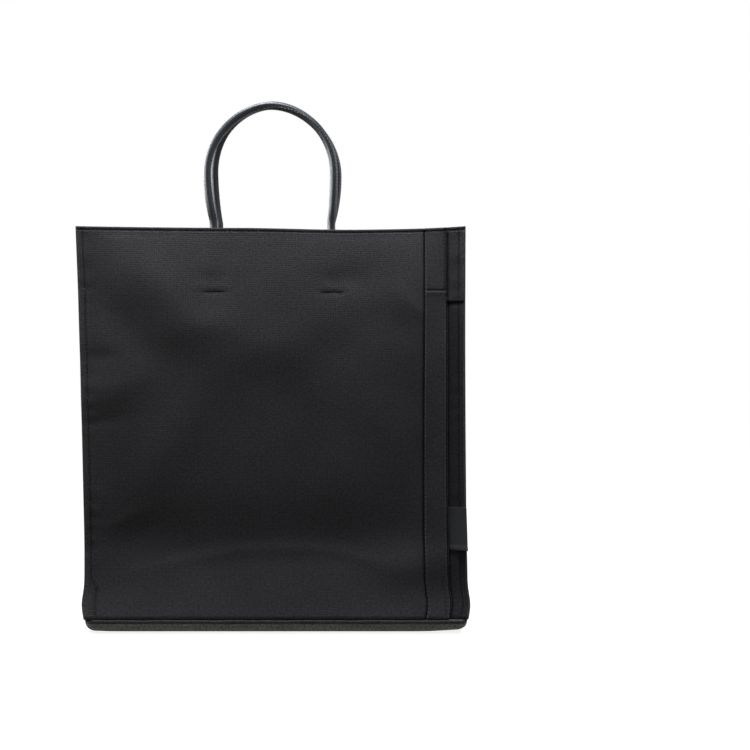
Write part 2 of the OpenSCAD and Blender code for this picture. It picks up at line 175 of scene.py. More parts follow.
@dataclass(frozen=True)
class WovenCloth:
    """A woven cloth, drawn in the piece's own UV map so that the threads follow the cut."""

    name: str
    valley: str  # colour between the threads
    crown: str  # colour on top of the threads
    worn: str  # colour of rubbed edges
    thread_mm: float  # width of one drawn thread
    relief_mm: float  # height of the drawn threads
    roughness: float = 0.86
    specular: float = 0.06
    sheen: float = 0.08
    slub: float = 0.35  # how uneven the threads are
    fleck: float = 0.66  # share of the matted nap that hides the threads
    nap: float = 430.0  # tufts of nap in a metre
    cloud: float = 0.25  # how blotchy the dye is
    twill: bool = False
    shows_painted_shade: bool = False  # whether values below 0 of the wear and shade attribute paint shade on it, in seams, slits and deep folds

    def wander(
        self, tree: bpy.types.NodeTree, cut: bpy.types.NodeSocket
    ) -> bpy.types.NodeSocket:
        """Shift places on the flat cloth a little, so that the threads wander.

        Args:
            tree: Node tree to add to.
            cut: Place on the flat cloth.

        Returns:
            Socket of the shifted place.
        """
        period = self.thread_mm * MM
        drift = add_node(tree, NOISE, {"Vector": cut, "Scale": 160.0, "Detail": 2.0})
        centred = add_node(
            tree, VECTOR_MATH, {0: drift.outputs["Color"], 1: (0.5, 0.5, 0.5)}, operation="SUBTRACT"
        ).outputs[0]
        shift = add_node(
            tree, VECTOR_MATH, {0: centred, "Scale": 1.6 * period}, operation="SCALE"
        ).outputs[0]
        return add_node(tree, VECTOR_MATH, {0: cut, 1: shift}, operation="ADD").outputs[0]

    def weave(self, tree: bpy.types.NodeTree, uv: bpy.types.NodeSocket) -> bpy.types.NodeSocket:
        """Draw the crossing threads, or the ribs of a twill.

        Args:
            tree: Node tree to add to.
            uv: Place on the cloth.

        Returns:
            Socket that is 0 between the threads and 1 on top of them.
        """
        period = self.thread_mm * MM
        waves = {"Vector": uv, "Scale": WAVE_PITCH / (2 * period)}
        warp = add_node(tree, WAVE, waves, bands_direction="X").outputs["Fac"]
        if self.twill:
            ribs = add_node(tree, WAVE, waves, bands_direction="DIAGONAL").outputs["Fac"]
            return add_node(tree, MATH, {0: ribs, 1: warp}, operation="MULTIPLY").outputs[0]
        weft = add_node(tree, WAVE, waves, bands_direction="Y").outputs["Fac"]
        over = add_node(
            tree, "ShaderNodeTexChecker", {"Vector": uv, "Scale": 1 / period}
        ).outputs["Fac"]
        return add_node(tree, MIX, {0: over, 2: warp, 3: weft}, data_type="FLOAT").outputs[0]

    @staticmethod
    def slubs(tree: bpy.types.NodeTree, uv: bpy.types.NodeSocket) -> bpy.types.NodeSocket:
        """Draw where the threads of both directions are thick or thin.

        Args:
            tree: Node tree to add to.
            uv: Place on the cloth.

        Returns:
            Socket of the thickness, about 0.5 in the mean.
        """
        parts = []
        for stretch in ((25, 420, 1), (420, 25, 1)):
            along = add_node(tree, "ShaderNodeMapping", {"Vector": uv, "Scale": stretch}).outputs[0]
            noise = {"Vector": along, "Scale": 1.0, "Detail": 2.0}
            parts.append(add_node(tree, NOISE, noise).outputs[0])
        both = add_node(tree, MATH, {0: parts[0], 1: parts[1]}, operation="ADD").outputs[0]
        return add_node(tree, MATH, {0: both, 1: 0.5}, operation="MULTIPLY").outputs[0]

    def build(self) -> bpy.types.Material:
        """Make the material.

        Returns:
            The new material.
        """
        material, tree = new_material(self.name)
        cut = add_node(tree, "ShaderNodeUVMap", uv_map=CLOTH_UV).outputs[0]
        uv = self.wander(tree, cut)
        weave, slub = self.weave(tree, uv), self.slubs(tree, uv)
        nap = add_node(tree, NOISE, {"Vector": cut, "Scale": self.nap, "Detail": 3.0}).outputs[0]
        fleck = add_node(tree, RANGE, {0: nap, 1: 0.33, 2: 0.67, 3: 0.0, 4: 1.0}).outputs[0]
        # the wear and shade attribute: rubbing above 0, painted shade below 0
        worn = add_node(tree, "ShaderNodeAttribute", attribute_name=WEAR_AND_SHADE).outputs["Fac"]

        uneven = {0: self.slub, 2: weave, 3: slub}
        uneven = add_node(tree, MIX, uneven, data_type="FLOAT").outputs[0]
        light = {0: self.fleck, 2: uneven, 3: fleck}
        light = add_node(tree, MIX, light, data_type="FLOAT").outputs[0]
        threads = {0: light, 6: linear(self.valley), 7: linear(self.crown)}
        threads = add_node(tree, MIX, threads, data_type="RGBA").outputs[2]

        blotch = {"Vector": uv, "Scale": 14.0, "Detail": 4.0}
        blotch = add_node(tree, NOISE, blotch).outputs[0]
        dye_and_shade = {0: blotch, 1: 0.3, 2: 0.7, 3: 1 - self.cloud, 4: 1.0}
        dye_and_shade = add_node(tree, RANGE, dye_and_shade).outputs[0]
        # Painted shade: below 0 the attribute darkens the dye and dims the specular and sheen in
        # seams, slits and deep folds.
        specular, sheen = self.specular, self.sheen
        if self.shows_painted_shade:
            sunk = {0: worn, 1: -1.0, 2: 0.0, 3: 0.12, 4: 1.0}
            sunk = add_node(tree, RANGE, sunk).outputs[0]
            dye_and_shade, specular, sheen = (
                add_node(tree, MATH, {0: level, 1: sunk}, operation="MULTIPLY").outputs[0]
                for level in (dye_and_shade, specular, sheen)
            )
        grey = add_node(tree, "ShaderNodeCombineColor", {0: dye_and_shade, 1: dye_and_shade, 2: dye_and_shade}).outputs[0]
        # the threads' colour times the dye blotches and the painted shade
        dyed = {0: 1.0, 6: threads, 7: grey}
        dyed = add_node(tree, MIX, dyed, data_type="RGBA", blend_type="MULTIPLY").outputs[2]
        rub = add_node(tree, MATH, {0: light, 1: 1.2}, operation="MULTIPLY").outputs[0]
        rub = add_node(tree, MATH, {0: worn, 1: rub}, operation="MULTIPLY").outputs[0]
        colour = {0: rub, 6: dyed, 7: linear(self.worn)}
        colour = add_node(tree, MIX, colour, data_type="RGBA").outputs[2]

        fuzz = add_node(tree, MATH, {0: slub, 1: fleck}, operation="ADD").outputs[0]
        fuzz = add_node(tree, MATH, {0: fuzz, 1: 0.8}, operation="MULTIPLY").outputs[0]
        height = add_node(tree, MATH, {0: weave, 1: fuzz}, operation="ADD").outputs[0]
        values = {
            "Base Color": colour,
            "Roughness": self.roughness,
            "Specular IOR Level": specular,
            "Sheen Weight": sheen,
            "Sheen Roughness": 0.5,
        }
        finish_material(tree, height, 0.7, self.relief_mm * MM, values)
        return material


@dataclass(frozen=True)
class Leather:
    """Smooth drum-dyed leather: fine pores and creases under a matt or satin top coat."""

    name: str
    deep: str
    face: str
    roughness: float = 0.4
    specular: float = 0.5
    grain_mm: float = 1.1

    def build(self) -> bpy.types.Material:
        """Make the material.

        Returns:
            The new material.
        """
        material, tree = new_material(self.name)
        place = add_node(tree, "ShaderNodeTexCoord").outputs["Object"]
        pores = {"Vector": place, "Scale": 1 / (self.grain_mm * MM)}
        pores = add_node(tree, "ShaderNodeTexVoronoi", pores).outputs["Distance"]
        pores = add_node(tree, MATH, {0: pores, 1: 0.3}, operation="MULTIPLY").outputs[0]
        soft = add_node(tree, NOISE, {"Vector": place, "Scale": 60.0, "Detail": 5.0}).outputs[0]
        cut = add_node(tree, "ShaderNodeUVMap", uv_map=CLOTH_UV).outputs[0]
        along = {"Vector": cut, "Scale": (620, 22, 1)}
        along = add_node(tree, "ShaderNodeMapping", along).outputs[0]
        crease = add_node(tree, NOISE, {"Vector": along, "Scale": 1.0, "Detail": 3.0}).outputs[0]
        crease = add_node(tree, MATH, {0: crease, 1: 2.4}, operation="MULTIPLY").outputs[0]
        tone = add_node(tree, MATH, {0: soft, 1: 0.7}, operation="MULTIPLY").outputs[0]
        tone = add_node(tree, MATH, {0: tone, 1: pores}, operation="ADD").outputs[0]
        colour = {0: tone, 6: linear(self.deep), 7: linear(self.face)}
        colour = add_node(tree, MIX, colour, data_type="RGBA").outputs[2]
        gloss = {0: soft, 1: 0.3, 2: 0.7, 3: self.roughness - 0.06, 4: self.roughness + 0.08}
        gloss = add_node(tree, RANGE, gloss).outputs[0]
        height = add_node(tree, MATH, {0: pores, 1: crease}, operation="ADD").outputs[0]
        values = {"Base Color": colour, "Roughness": gloss, "Specular IOR Level": self.specular}
        finish_material(tree, height, 0.3, 0.0001, values)
        return material


@dataclass(frozen=True)
class SpunThread:
    """Bonded sewing thread: a twisted yarn with a dull shine, lighter on the tops of its twists."""

    name: str
    deep: str
    crown: str
    twist_mm: float = 0.9
    roughness: float = 0.5
    specular: float = 0.4

    def build(self) -> bpy.types.Material:
        """Make the material.

        Returns:
            The new material.
        """
        material, tree = new_material(self.name)
        place = add_node(tree, "ShaderNodeTexCoord").outputs["Object"]
        twist = {"Vector": place, "Scale": WAVE_PITCH / (self.twist_mm * MM), "Distortion": 0.6}
        twist = add_node(tree, WAVE, twist, bands_direction="DIAGONAL").outputs["Fac"]
        lint = add_node(tree, NOISE, {"Vector": place, "Scale": 700.0}).outputs[0]
        tone = add_node(tree, MATH, {0: twist, 1: lint}, operation="ADD").outputs[0]
        tone = add_node(tree, MATH, {0: tone, 1: 0.5}, operation="MULTIPLY").outputs[0]
        colour = {0: tone, 6: linear(self.deep), 7: linear(self.crown)}
        values = {
            "Base Color": add_node(tree, MIX, colour, data_type="RGBA").outputs[2],
            "Roughness": self.roughness,
            "Specular IOR Level": self.specular,
        }
        finish_material(tree, twist, 0.5, 0.0001, values)
        return material


@dataclass(frozen=True)
class PressedBoard:
    """Pressed fibre board with a sprayed black skin: faint matted fibres, dull all over."""

    name: str
    deep: str
    fibre: str

    def build(self) -> bpy.types.Material:
        """Make the material.

        Returns:
            The new material.
        """
        material, tree = new_material(self.name)
        place = add_node(tree, "ShaderNodeTexCoord").outputs["Object"]
        fibres = {"Vector": place, "Scale": 260.0, "Detail": 6.0, "Distortion": 1.5}
        fibres = add_node(tree, NOISE, fibres).outputs[0]
        colour = {0: fibres, 6: linear(self.deep), 7: linear(self.fibre)}
        values = {
            "Base Color": add_node(tree, MIX, colour, data_type="RGBA").outputs[2],
            "Roughness": 0.8,
            "Specular IOR Level": 0.2,
        }
        finish_material(tree, fibres, 0.4, 0.0002, values)
        return material


# Piece-dyed cotton duck, plain weave: nearly black, with a dry matted nap over its crossing
# threads and soft dye blotches. Its real threads are 0.5 mm apart, drawn 1.15 mm apart to show.
CANVAS = WovenCloth(
    "canvas_cotton_duck_dyed_black", "#222224", "#39383c", "#515054", 1.15, 0.22, shows_painted_shade=True
)
# The same duck behind the pocket, made darker as painted shade in the recess beside the pocket's
# edge.
SHADED_INNER_CANVAS = WovenCloth(
    "canvas_cotton_duck_inner", "#1c1c1f", "#303034", "#434347", 1.15, 0.22, shows_painted_shade=True
)
# Woven cotton tape, twilled: finer and flatter than the duck. Its ribs are drawn double size.
FACING_TAPE = WovenCloth(
    "facing_cotton_twill_tape", "#242427", "#424246", "#5a5a5e", 1.0, 0.2, twill=True
)
# Coarse coated duck that wears the ground: olive charcoal, heavier grain and rubbed high spots.
# Its real threads are 0.9 mm apart, drawn 1.8 mm apart so that they show.
BASE_CLOTH = WovenCloth(
    "base_coated_coarse_duck",
    "#3f4038",
    "#777870",
    "#8c8d83",
    1.8,
    0.7,
    roughness=0.8,
    specular=0.2,
    slub=0.5,
    cloud=0.4,
)
# Duck cut on the bias and sewn round a cord: tight, smooth and a little shiny where it bends.
PIPING_CLOTH = WovenCloth(
    "piping_bias_cut_duck", "#222325", "#3b3c3c", "#54554e", 1.1, 0.25
)
# Calf leather for the label: flat, matt and pored, with no printing.
LABEL_LEATHER = Leather(
    "label_matt_calf_leather", "#0d0f10", "#181c1d", roughness=0.62, specular=0.12, grain_mm=0.9
)
# Cowhide rolled round a cord: charcoal black with a satin coat that takes long highlights.
HANDLE_LEATHER = Leather(
    "handle_rolled_cowhide_satin", "#0b0f14", "#1d242d", roughness=0.36, specular=0.24
)
# Bonded polyester thread for the seams; that of the bar tacks is darker and dull.
SEWING_THREAD = SpunThread("thread_bonded_polyester_black", "#141417", "#3c3c41")
TACK_THREAD = SpunThread(
    "thread_bar_tack_black", "#040405", "#0c0c0e", roughness=0.9, specular=0.04
)
# Undyed cotton cord inside the handles, laid in three strands.
CORE_CORD = SpunThread("core_laid_cotton_cord", "#a59a80", "#d8cfb8", twist_mm=5, roughness=0.9)
# Hidden in the base: its skin is matt and even, and its finish is a guess.
BASE_BOARD = PressedBoard("board_pressed_fibre_black", "#151517", "#29292c")


# ---- Meshes ----


def spread(marks: Sequence[float], widest: float) -> list[float]:
    """Put evenly spaced values between marks that lie far apart.

    Args:
        marks: Values in rising order, all kept.
        widest: Widest gap allowed in the result.

    Returns:
        The marks with the new values between them.
    """
    out = [marks[0]]
    for a, b in zip(marks, marks[1:]):
        count = max(1, math.ceil((b - a) / widest))
        out += [a + (b - a) * (i + 1) / count for i in range(count)]
    return out


def smooth(t: float) -> float:
    """Rise from 0 to 1 with no corners, for t from 0 to 1."""
    t = min(1.0, max(0.0, t))
    return t * t * (3 - 2 * t)


def mix(a: float, b: float, t: float) -> float:
    """Go from a to b as t goes from 0 to 1."""
    return a + (b - a) * t


def finish_piece(obj: bpy.types.Object, material: bpy.types.Material) -> None:
    """Give a piece its material, and report it.

    Args:
        obj: The piece.
        material: Its material.
    """
    obj.data.materials.clear()
    obj.data.materials.append(material)
    log.info("%s: %d faces", obj.name, len(obj.data.polygons))


def make_mesh(
    name: str,
    points: Sequence[Vector],
    faces: Sequence[Sequence[int]],
    uvs: Sequence[tuple[float, float]] | None = None,
    wear_and_shade: Sequence[float] | None = None,
) -> bpy.types.Object:
    """Make a smooth mesh object from points in millimetres, with its faces turned outwards.

    Args:
        name: Name of the object.
        points: Vertices in millimetres.
        faces: Vertex numbers of each face.
        uvs: Place of each vertex on the flat cloth, in metres.
        wear_and_shade: How rubbed each vertex is, up to 1, or below 0 where painted shade darkens
            it.

    Returns:
        The new object.
    """
    mesh = bpy.data.meshes.new(name)
    mesh.from_pydata([Vector(p) * MM for p in points], [], faces)
    if uvs:
        layer = mesh.uv_layers.new(name=CLOTH_UV)
        for loop in mesh.loops:
            layer.data[loop.index].uv = uvs[loop.vertex_index]
    if wear_and_shade:
        attribute = mesh.attributes.new(WEAR_AND_SHADE, "FLOAT", "POINT")
        attribute.data.foreach_set("value", wear_and_shade)
    body = bmesh.new()
    body.from_mesh(mesh)
    if body.calc_volume(signed=True) < 0:
        bmesh.ops.reverse_faces(body, faces=body.faces)
    body.to_mesh(mesh)
    body.free()
    mesh.polygons.foreach_set("use_smooth", [True] * len(mesh.polygons))
    mesh.update()
    obj = bpy.data.objects.new(name, mesh)
    bpy.context.scene.collection.objects.link(obj)
    return obj


def cloth_places(grid: Grid) -> list[list[tuple[float, float]]]:
    """Lay a curved grid out flat, by the lengths along its rows and columns.

    Args:
        grid: Rows of points in millimetres.

    Returns:
        A flat place in metres for each point.
    """
    rows, cols = len(grid), len(grid[0])
    middle = cols // 2
    high = [0.0]
    for r in range(1, rows):
        high.append(high[-1] + (grid[r][middle] - grid[r - 1][middle]).length)
    out = []
    for r, row in enumerate(grid):
        along = [0.0]
        for c in range(1, cols):
            along.append(along[-1] + (row[c] - row[c - 1]).length)
        out.append([((a - along[middle]) * MM, high[r] * MM) for a in along])
    return out


def make_sheet(
    name: str, outer: Grid, inner: Grid, wear_and_shade: Callable[[Vector], float] | None = None
) -> bpy.types.Object:
    """Make a closed sheet of cloth between two grids, with rounded edges.

    Args:
        name: Name of the object.
        outer: Rows of points on the outer side, in millimetres.
        inner: The same rows on the inner side.
        wear_and_shade: How rubbed a point on the outer side is, up to 1, or below 0 where painted
            shade darkens it.

    Returns:
        The new object.
    """
    rows, cols = len(outer), len(outer[0])
    flat = cloth_places(outer)
    points: list[Vector] = []
    uvs: list[tuple[float, float]] = []
    # values for the wear and shade attribute: rubbing above 0, painted shade below 0
    rubbed: list[float] = []
    for grid in (outer, inner):
        for r in range(rows):
            for c in range(cols):
                points.append(grid[r][c])
                uvs.append(flat[r][c])
                rubbed.append(wear_and_shade(grid[r][c]) if wear_and_shade else 0.0)
    faces: list[list[int]] = []
    shift = rows * cols
    for r in range(rows - 1):
        for c in range(cols - 1):
            a = r * cols + c
            quad = [a, a + 1, a + cols + 1, a + cols]
            faces.append(quad)
            faces.append([shift + i for i in reversed(quad)])
    border = [(0, c) for c in range(cols - 1)] + [(r, cols - 1) for r in range(rows - 1)]
    border += [(rows - 1, c) for c in range(cols - 1, 0, -1)]
    border += [(r, 0) for r in range(rows - 1, 0, -1)]
    rings = [[r * cols + c for r, c in border]]
    for share, out in ((0.15, 0.22), (0.5, 0.34), (0.85, 0.22)):
        ring = []
        for r, c in border:
            near = outer[min(max(r, 1), rows - 2)][min(max(c, 1), cols - 2)]
            away = (outer[r][c] - near).normalized()
            gap = inner[r][c] - outer[r][c]
            ring.append(len(points))
            points.append(outer[r][c] + gap * share + away * gap.length * out)
            uvs.append(flat[r][c])
            rubbed.append(1.0 if wear_and_shade else 0.0)
        rings.append(ring)
    rings.append([shift + r * cols + c for r, c in border])
    for low, high in zip(rings, rings[1:]):
        for i in range(len(border)):
            j = (i + 1) % len(border)
            faces.append([low[j], low[i], high[i], high[j]])
    return make_mesh(name, points, faces, uvs, rubbed if wear_and_shade else None)


@dataclass(frozen=True)
class Ring:
    """One section of a rod: an ellipse at a place, with its two axes."""

    middle: Vector
    side: Vector
    out: Vector
    half_side: float
    half_out: float


def make_rod(
    name: str,
    rings: Sequence[Ring],
    sides: int,
    swell: Callable[[float, int], float] | None = None,
    wear_and_shade: float = 0.0,
) -> bpy.types.Object:
    """Make a closed rod through sections, with domed ends.

    Args:
        name: Name of the object.
        rings: Sections in order.
        sides: Points round each section.
        swell: Extra distance from the middle at an angle in degrees, on a section by number.
        wear_and_shade: How rubbed the rod is, from 0 to 1.

    Returns:
        The new object.
    """
    points: list[Vector] = []
    uvs: list[tuple[float, float]] = []
    faces: list[list[int]] = []
    along = 0.0
    for i, ring in enumerate(rings):
        along += (ring.middle - rings[i - 1].middle).length if i else 0.0
        for k in range(sides):
            turn = 360 * k / sides
            extra = swell(turn, i) if swell else 0.0
            cos, sin = math.cos(math.radians(turn)), math.sin(math.radians(turn))
            reach = ring.side * cos * (ring.half_side + extra) + ring.out * sin * (
                ring.half_out + extra
            )
            points.append(ring.middle + reach)
            girth = math.pi * (ring.half_side + ring.half_out)
            uvs.append((min(k, sides - k) / sides * girth * MM, along * MM))
    last = len(rings) - 1
    for i in range(last):
        a, b = i * sides, (i + 1) * sides
        for k in range(sides):
            m = (k + 1) % sides
            faces.append([a + k, a + m, b + m, b + k])
    for i, inner in ((0, 1), (last, last - 1)):
        tip = len(points)
        away = (rings[i].middle - rings[inner].middle).normalized()
        half = min(rings[i].half_side, rings[i].half_out)
        points.append(rings[i].middle + away * half * 0.5)
        uvs.append((0.0, along * MM if i else 0.0))
        for k in range(sides):
            m = (k + 1) % sides
            pair = [i * sides + k, i * sides + m]
            faces.append([tip, *(reversed(pair) if i == 0 else pair)])
    return make_mesh(name, points, faces, uvs, [wear_and_shade] * len(points))


class StitchMaker:
    """Models one thread shape and sets copies of it along seams."""

    def __init__(self) -> None:
        """Model the stitch: a six-sided capsule along Z, 1 long and 1 thick, at the origin."""
        bpy.ops.object.select_all(action="DESELECT")
        bpy.ops.mesh.primitive_uv_sphere_add(segments=6, ring_count=5, radius=0.5)
        shape = bpy.context.object
        bpy.ops.object.mode_set(mode="EDIT")
        bpy.ops.mesh.select_all(action="DESELECT")
        bpy.ops.object.mode_set(mode="OBJECT")
        self.points = [v.co.copy() for v in shape.data.vertices]
        self.faces = [list(p.vertices) for p in shape.data.polygons]
        mesh = shape.data
        bpy.data.objects.remove(shape)
        bpy.data.meshes.remove(mesh)

    def sew(
        self,
        name: str,
        seams: Sequence[Sequence[tuple[Vector, Vector]]],
        pitch: float = 4.0,
        length: float = 3.1,
        thick: float = 0.65,
        sunk: float = 0.22,
        across: bool = False,
    ) -> bpy.types.Object:
        """Set stitches along seams and make them one piece.

        Args:
            name: Name of the piece.
            seams: Each seam as points with the cloth's outward direction.
            pitch: Distance between stitches.
            length: Length of a stitch.
            thick: Thickness of the thread.
            sunk: How far the thread's middle lies under the cloth's face.
            across: Whether the threads cross the seam.

        Returns:
            The new piece.
        """
        points: list[Vector] = []
        faces: list[list[int]] = []
        for seam in seams:
            spots = self.spots(seam, pitch)
            for middle, along, out in spots:
                if across:
                    along = out.cross(along)
                side = out.cross(along).normalized()
                start = len(points)
                for p in self.points:
                    stretch = p.z * length
                    place = middle - out * sunk + along * stretch
                    points.append(place + side * p.x * thick + out * p.y * thick)
                faces += [[start + i for i in f] for f in self.faces]
        return make_mesh(name, points, faces)

    @staticmethod
    def spots(
        seam: Sequence[tuple[Vector, Vector]], pitch: float
    ) -> list[tuple[Vector, Vector, Vector]]:
        """Find where the stitches of a seam go.

        Args:
            seam: Points with outward directions.
            pitch: Distance between stitches.

        Returns:
            Middle, direction and outward direction of each stitch.
        """
        out = []
        due = pitch / 2
        for (a, na), (b, nb) in zip(seam, seam[1:]):
            step = b - a
            span = step.length
            while due <= span and span > 0:
                t = due / span
                out.append((a + step * t, step / span, (na * (1 - t) + nb * t).normalized()))
                due += pitch
            due -= span
        return out


# ---- Shape of the bag ----


@dataclass(frozen=True)
class Fold:
    """A soft crest pressed into a wall, or a dent where its height is negative."""

    x: float
    z: float
    turn: float  # degrees from level, rising to +X
    long: float
    wide: float
    height: float

    def at(self, x: float, z: float) -> float:
        """Give the outward push of the fold.

        Args:
            x: Distance across the wall.
            z: Height.

        Returns:
            Outward distance.
        """
        c, s = math.cos(math.radians(self.turn)), math.sin(math.radians(self.turn))
        along = (x - self.x) * c + (z - self.z) * s
        across = (z - self.z) * c - (x - self.x) * s
        return self.height * math.exp(-((along / self.long) ** 2) - (across / self.wide) ** 2)


def box_mm(node: str) -> tuple[Vector, Vector]:
    """Give the lowest and highest corner of a solid in millimetres."""
    low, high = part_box(node)
    return low / MM, high / MM


@dataclass(frozen=True)
class BagShape:
    """Shape of the walls, as the part's solids have it, with the folds of hanging cloth on top."""

    height: float
    base_width: float
    base_depth: float
    mouth_width: float
    wall_foot: float
    mouth_depth: float = 49.0
    mouth_bow: float = 5.0
    belly: float = 2.2
    flare: float = 6.5
    flare_ridge_h: float = 45.0
    flare_middle_h: float = 78.0
    corner_r: float = 11.0
    ridge_overhang: float = 2.0
    canvas_t: float = 1.2
    pocket_gap: float = 0.4
    layer_gap: float = 0.3
    facing_t: float = 1.0
    facing_h: float = 76.0
    pocket_inset: float = 18.5
    strip_w: float = 23.5
    patch_h: float = 77.5
    lean: float = 5.6  # how far the top hangs to the left
    foot_bulge: float = 2.4  # how far a ridge swells just above the base
    drape: float = 4.4  # how far the wall stands out under the stiff facing
    hollow: float = 3.4  # how far it sinks in over the arched crease
    folds: dict[Side, tuple[Fold, ...]] = field(default_factory=dict)

    @classmethod
    def from_frame(cls, folds: dict[Side, tuple[Fold, ...]]) -> "BagShape":
        """Read the main sizes off the frame's solids.

        Args:
            folds: Folds of each wall.

        Returns:
            The shape.
        """
        base_low, base_high = box_mm("base_panel")
        wall_low, wall_high = box_mm("front_inner_wall")
        return cls(
            height=wall_high.z,
            base_width=base_high.x - base_low.x,
            base_depth=base_high.y - base_low.y,
            mouth_width=wall_high.x - wall_low.x,
            wall_foot=wall_low.z,
            folds=folds,
        )

    @property
    def front_layers(self) -> float:
        """Thickness of the front wall's two layers and the pocket between them."""
        return 2 * self.canvas_t + self.pocket_gap

    def rise(self, z: float) -> float:
        """Share of the wall's height at z."""
        return (z - self.wall_foot) / (self.height - self.wall_foot)

    def fade(self, z: float, h: float) -> float:
        """Fall from 1 at the wall's foot to 0 at h above it."""
        return max(0.0, 1 - (z - self.wall_foot) / h) ** 2

    @property
    def corner_cut(self) -> float:
        """How far a ridge draws in over the rounded base corner."""
        return max(0.0, self.corner_r * (1 - 1 / math.sqrt(2)) - self.ridge_overhang)

    def ridge_x(self, z: float) -> float:
        """Distance from the middle of the bag out to a ridge at height z."""
        spread_out = (self.mouth_width - self.base_width) / 2 * (z / self.height) ** 1.6
        bulge = self.foot_bulge * math.exp(-(((z - 27) / 13) ** 2))
        return self.base_width / 2 + spread_out + bulge - self.corner_cut * self.fade(z, 30)

    def wall_y(self, u: float, z: float) -> float:
        """Distance from the middle plane out to a wall at a share u of the ridge distance."""
        t = self.rise(z)
        start = 1 - 2 * self.corner_r / self.base_width
        corner = max(0.0, (abs(u) - start) / (1 - start)) ** 2
        return (
            mix(self.base_depth / 2 - self.flare, self.mouth_depth / 2, t)
            + self.belly * math.sin(math.pi * t)
            + self.flare * self.fade(z, mix(self.flare_middle_h, self.flare_ridge_h, u * u))
            - self.mouth_bow * t * t * (1 - u * u)
            - self.corner_cut * self.fade(z, 30) * corner
        )

    def lean_x(self, z: float) -> float:
        """Sideways shift of everything at height z, because the bag hangs a little to the left."""
        return -self.lean * max(0.0, (z - 40) / (self.height - 40)) ** 1.1

    def sag_z(self, x: float, z: float) -> float:
        """Drop of the hem between the ridges at a place on a wall, deeper on the pocket's side."""
        u = max(-1.0, min(1.0, x / self.ridge_x(z)))
        drop = 1.1 * (1 - u * u) + 2.2 * smooth((u + 0.15) / 0.6) * (1 - u**6)
        return -drop * max(0.0, self.rise(z)) ** 6

    def pocket_edge(self, z: float) -> float:
        """Distance across to the pocket's free edge at height z."""
        return self.ridge_x(z) - self.pocket_inset

    def pocket_seam(self, z: float) -> float:
        """Distance across to the seam of the pocket's edge strip at height z."""
        return self.pocket_edge(z) - self.strip_w

    def arch(self, x: float) -> float:
        """Height of the arched crease that the base board presses into the walls."""
        over = x - 20
        return 84 - (0.00085 if over < 0 else 0.0021) * over * over

    def hang(self, x: float, z: float) -> float:
        """Outward push of the hanging cloth: out under the facing, in over the arched crease.

        Args:
            x: Distance across the wall.
            z: Height.

        Returns:
            Outward distance.
        """
        stiff = self.height - self.facing_h - 7
        if z > stiff:
            under = min(1.0, (self.height - z) / (self.height - stiff))
            out = self.drape * math.sin(math.pi / 2 * under)
        else:
            out = self.drape * math.exp(-(((stiff - z) / 95) ** 2))
        arch = max(self.wall_foot + 6, self.arch(x))
        share = math.sqrt(min(1.0, (arch - self.wall_foot) / 70))
        over = z - arch
        wide = 36 + 0.9 * max(0.0, 84 - arch) if over > 0 else 0.55 * (arch - self.wall_foot)
        out -= self.hollow * share * math.exp(-((over / wide) ** 2))
        return out + 0.35 * share * math.exp(-(((over + 5) / 6) ** 2))

    def relief(self, side: Side, x: float, z: float) -> float:
        """Outward push of a wall's folds, puckers and dents.

        Args:
            side: Which wall.
            x: Distance across the wall.
            z: Height.

        Returns:
            Outward distance.
        """
        push = sum(f.at(x, z) for f in self.folds[side])
        ridge = self.ridge_x(z)
        from_ridge = ridge - abs(x)
        push += self.hang(x if side is Side.FRONT else -x, z) * smooth((from_ridge - 4) / 44)
        pucker = math.sin(z / 3.1 + 2.1 * math.sin(z / 17.0)) * math.sin(z / 41.0 + side.value)
        push += 0.28 * pucker * math.exp(-(((from_ridge - 9) / 6) ** 2))
        hem = math.sin(x / 4.3 + 1.7 * math.sin(x / 23.0)) * math.sin(x / 37.0 + 1)
        push += 0.22 * hem * math.exp(-(((self.height - z - 8) / 6) ** 2))
        hold = smooth((self.height - z) / 14) * smooth((z - self.wall_foot) / 12)
        return push * (0.15 + 0.85 * hold)

    def groove(self, side: Side, x: float, z: float) -> float:
        """Depth to which seams draw the outer cloth in.

        Args:
            side: Which wall.
            x: Distance across the wall.
            z: Height.

        Returns:
            Inward distance, less where the cloth swells beside a seam.
        """
        ridge = self.ridge_x(z)
        from_seam = ridge - abs(x) - ridge_seam(self, z, x < 0 and side is Side.FRONT)
        from_hem = self.height - z - HEM_SEAM
        depth = 0.0
        for off in (from_seam, from_hem):
            depth += 0.6 * math.exp(-((off / 0.9) ** 2)) - 0.2 * math.exp(-((off / 2.6) ** 2))
        if side is Side.FRONT and x > 0:
            depth += 0.9 * math.exp(-(((x - self.pocket_seam(z)) / 1.2) ** 2))
            depth += 0.5 * math.exp(-(((x - self.pocket_edge(z)) / 0.9) ** 2))
            if self.pocket_seam(z) < x < self.pocket_edge(z):
                below = self.height - z - STRIP_DROP
                pull = 0.5 * math.exp(-((below / 0.8) ** 2))
                depth += pull - 0.4 * math.exp(-(((below - 3) / 2) ** 2))
        return depth

    def seam_shade(self, side: Side, x: float, z: float) -> float:
        """How dark painted shade makes the cloth in the grooves of the seams, along the wall's
        foot, round the bar tacks and in the pocket's slit.

        Args:
            side: Which wall.
            x: Distance across the wall.
            z: Height.

        Returns:
            Share from 0 to 1.
        """
        ridge = self.ridge_x(z)
        from_ridge = ridge - abs(x) - ridge_seam(self, z, x < 0 and side is Side.FRONT)
        drop = self.height - z

        def line(off: float, wide: float) -> float:
            """Give the shade of one line at a distance from it."""
            return math.exp(-((off / wide) ** 2))

        # painted shade in the grooves of the ridge and hem seams
        shade = max(0.75 * line(from_ridge, 0.8), 0.8 * line(drop - HEM_SEAM, 0.6))
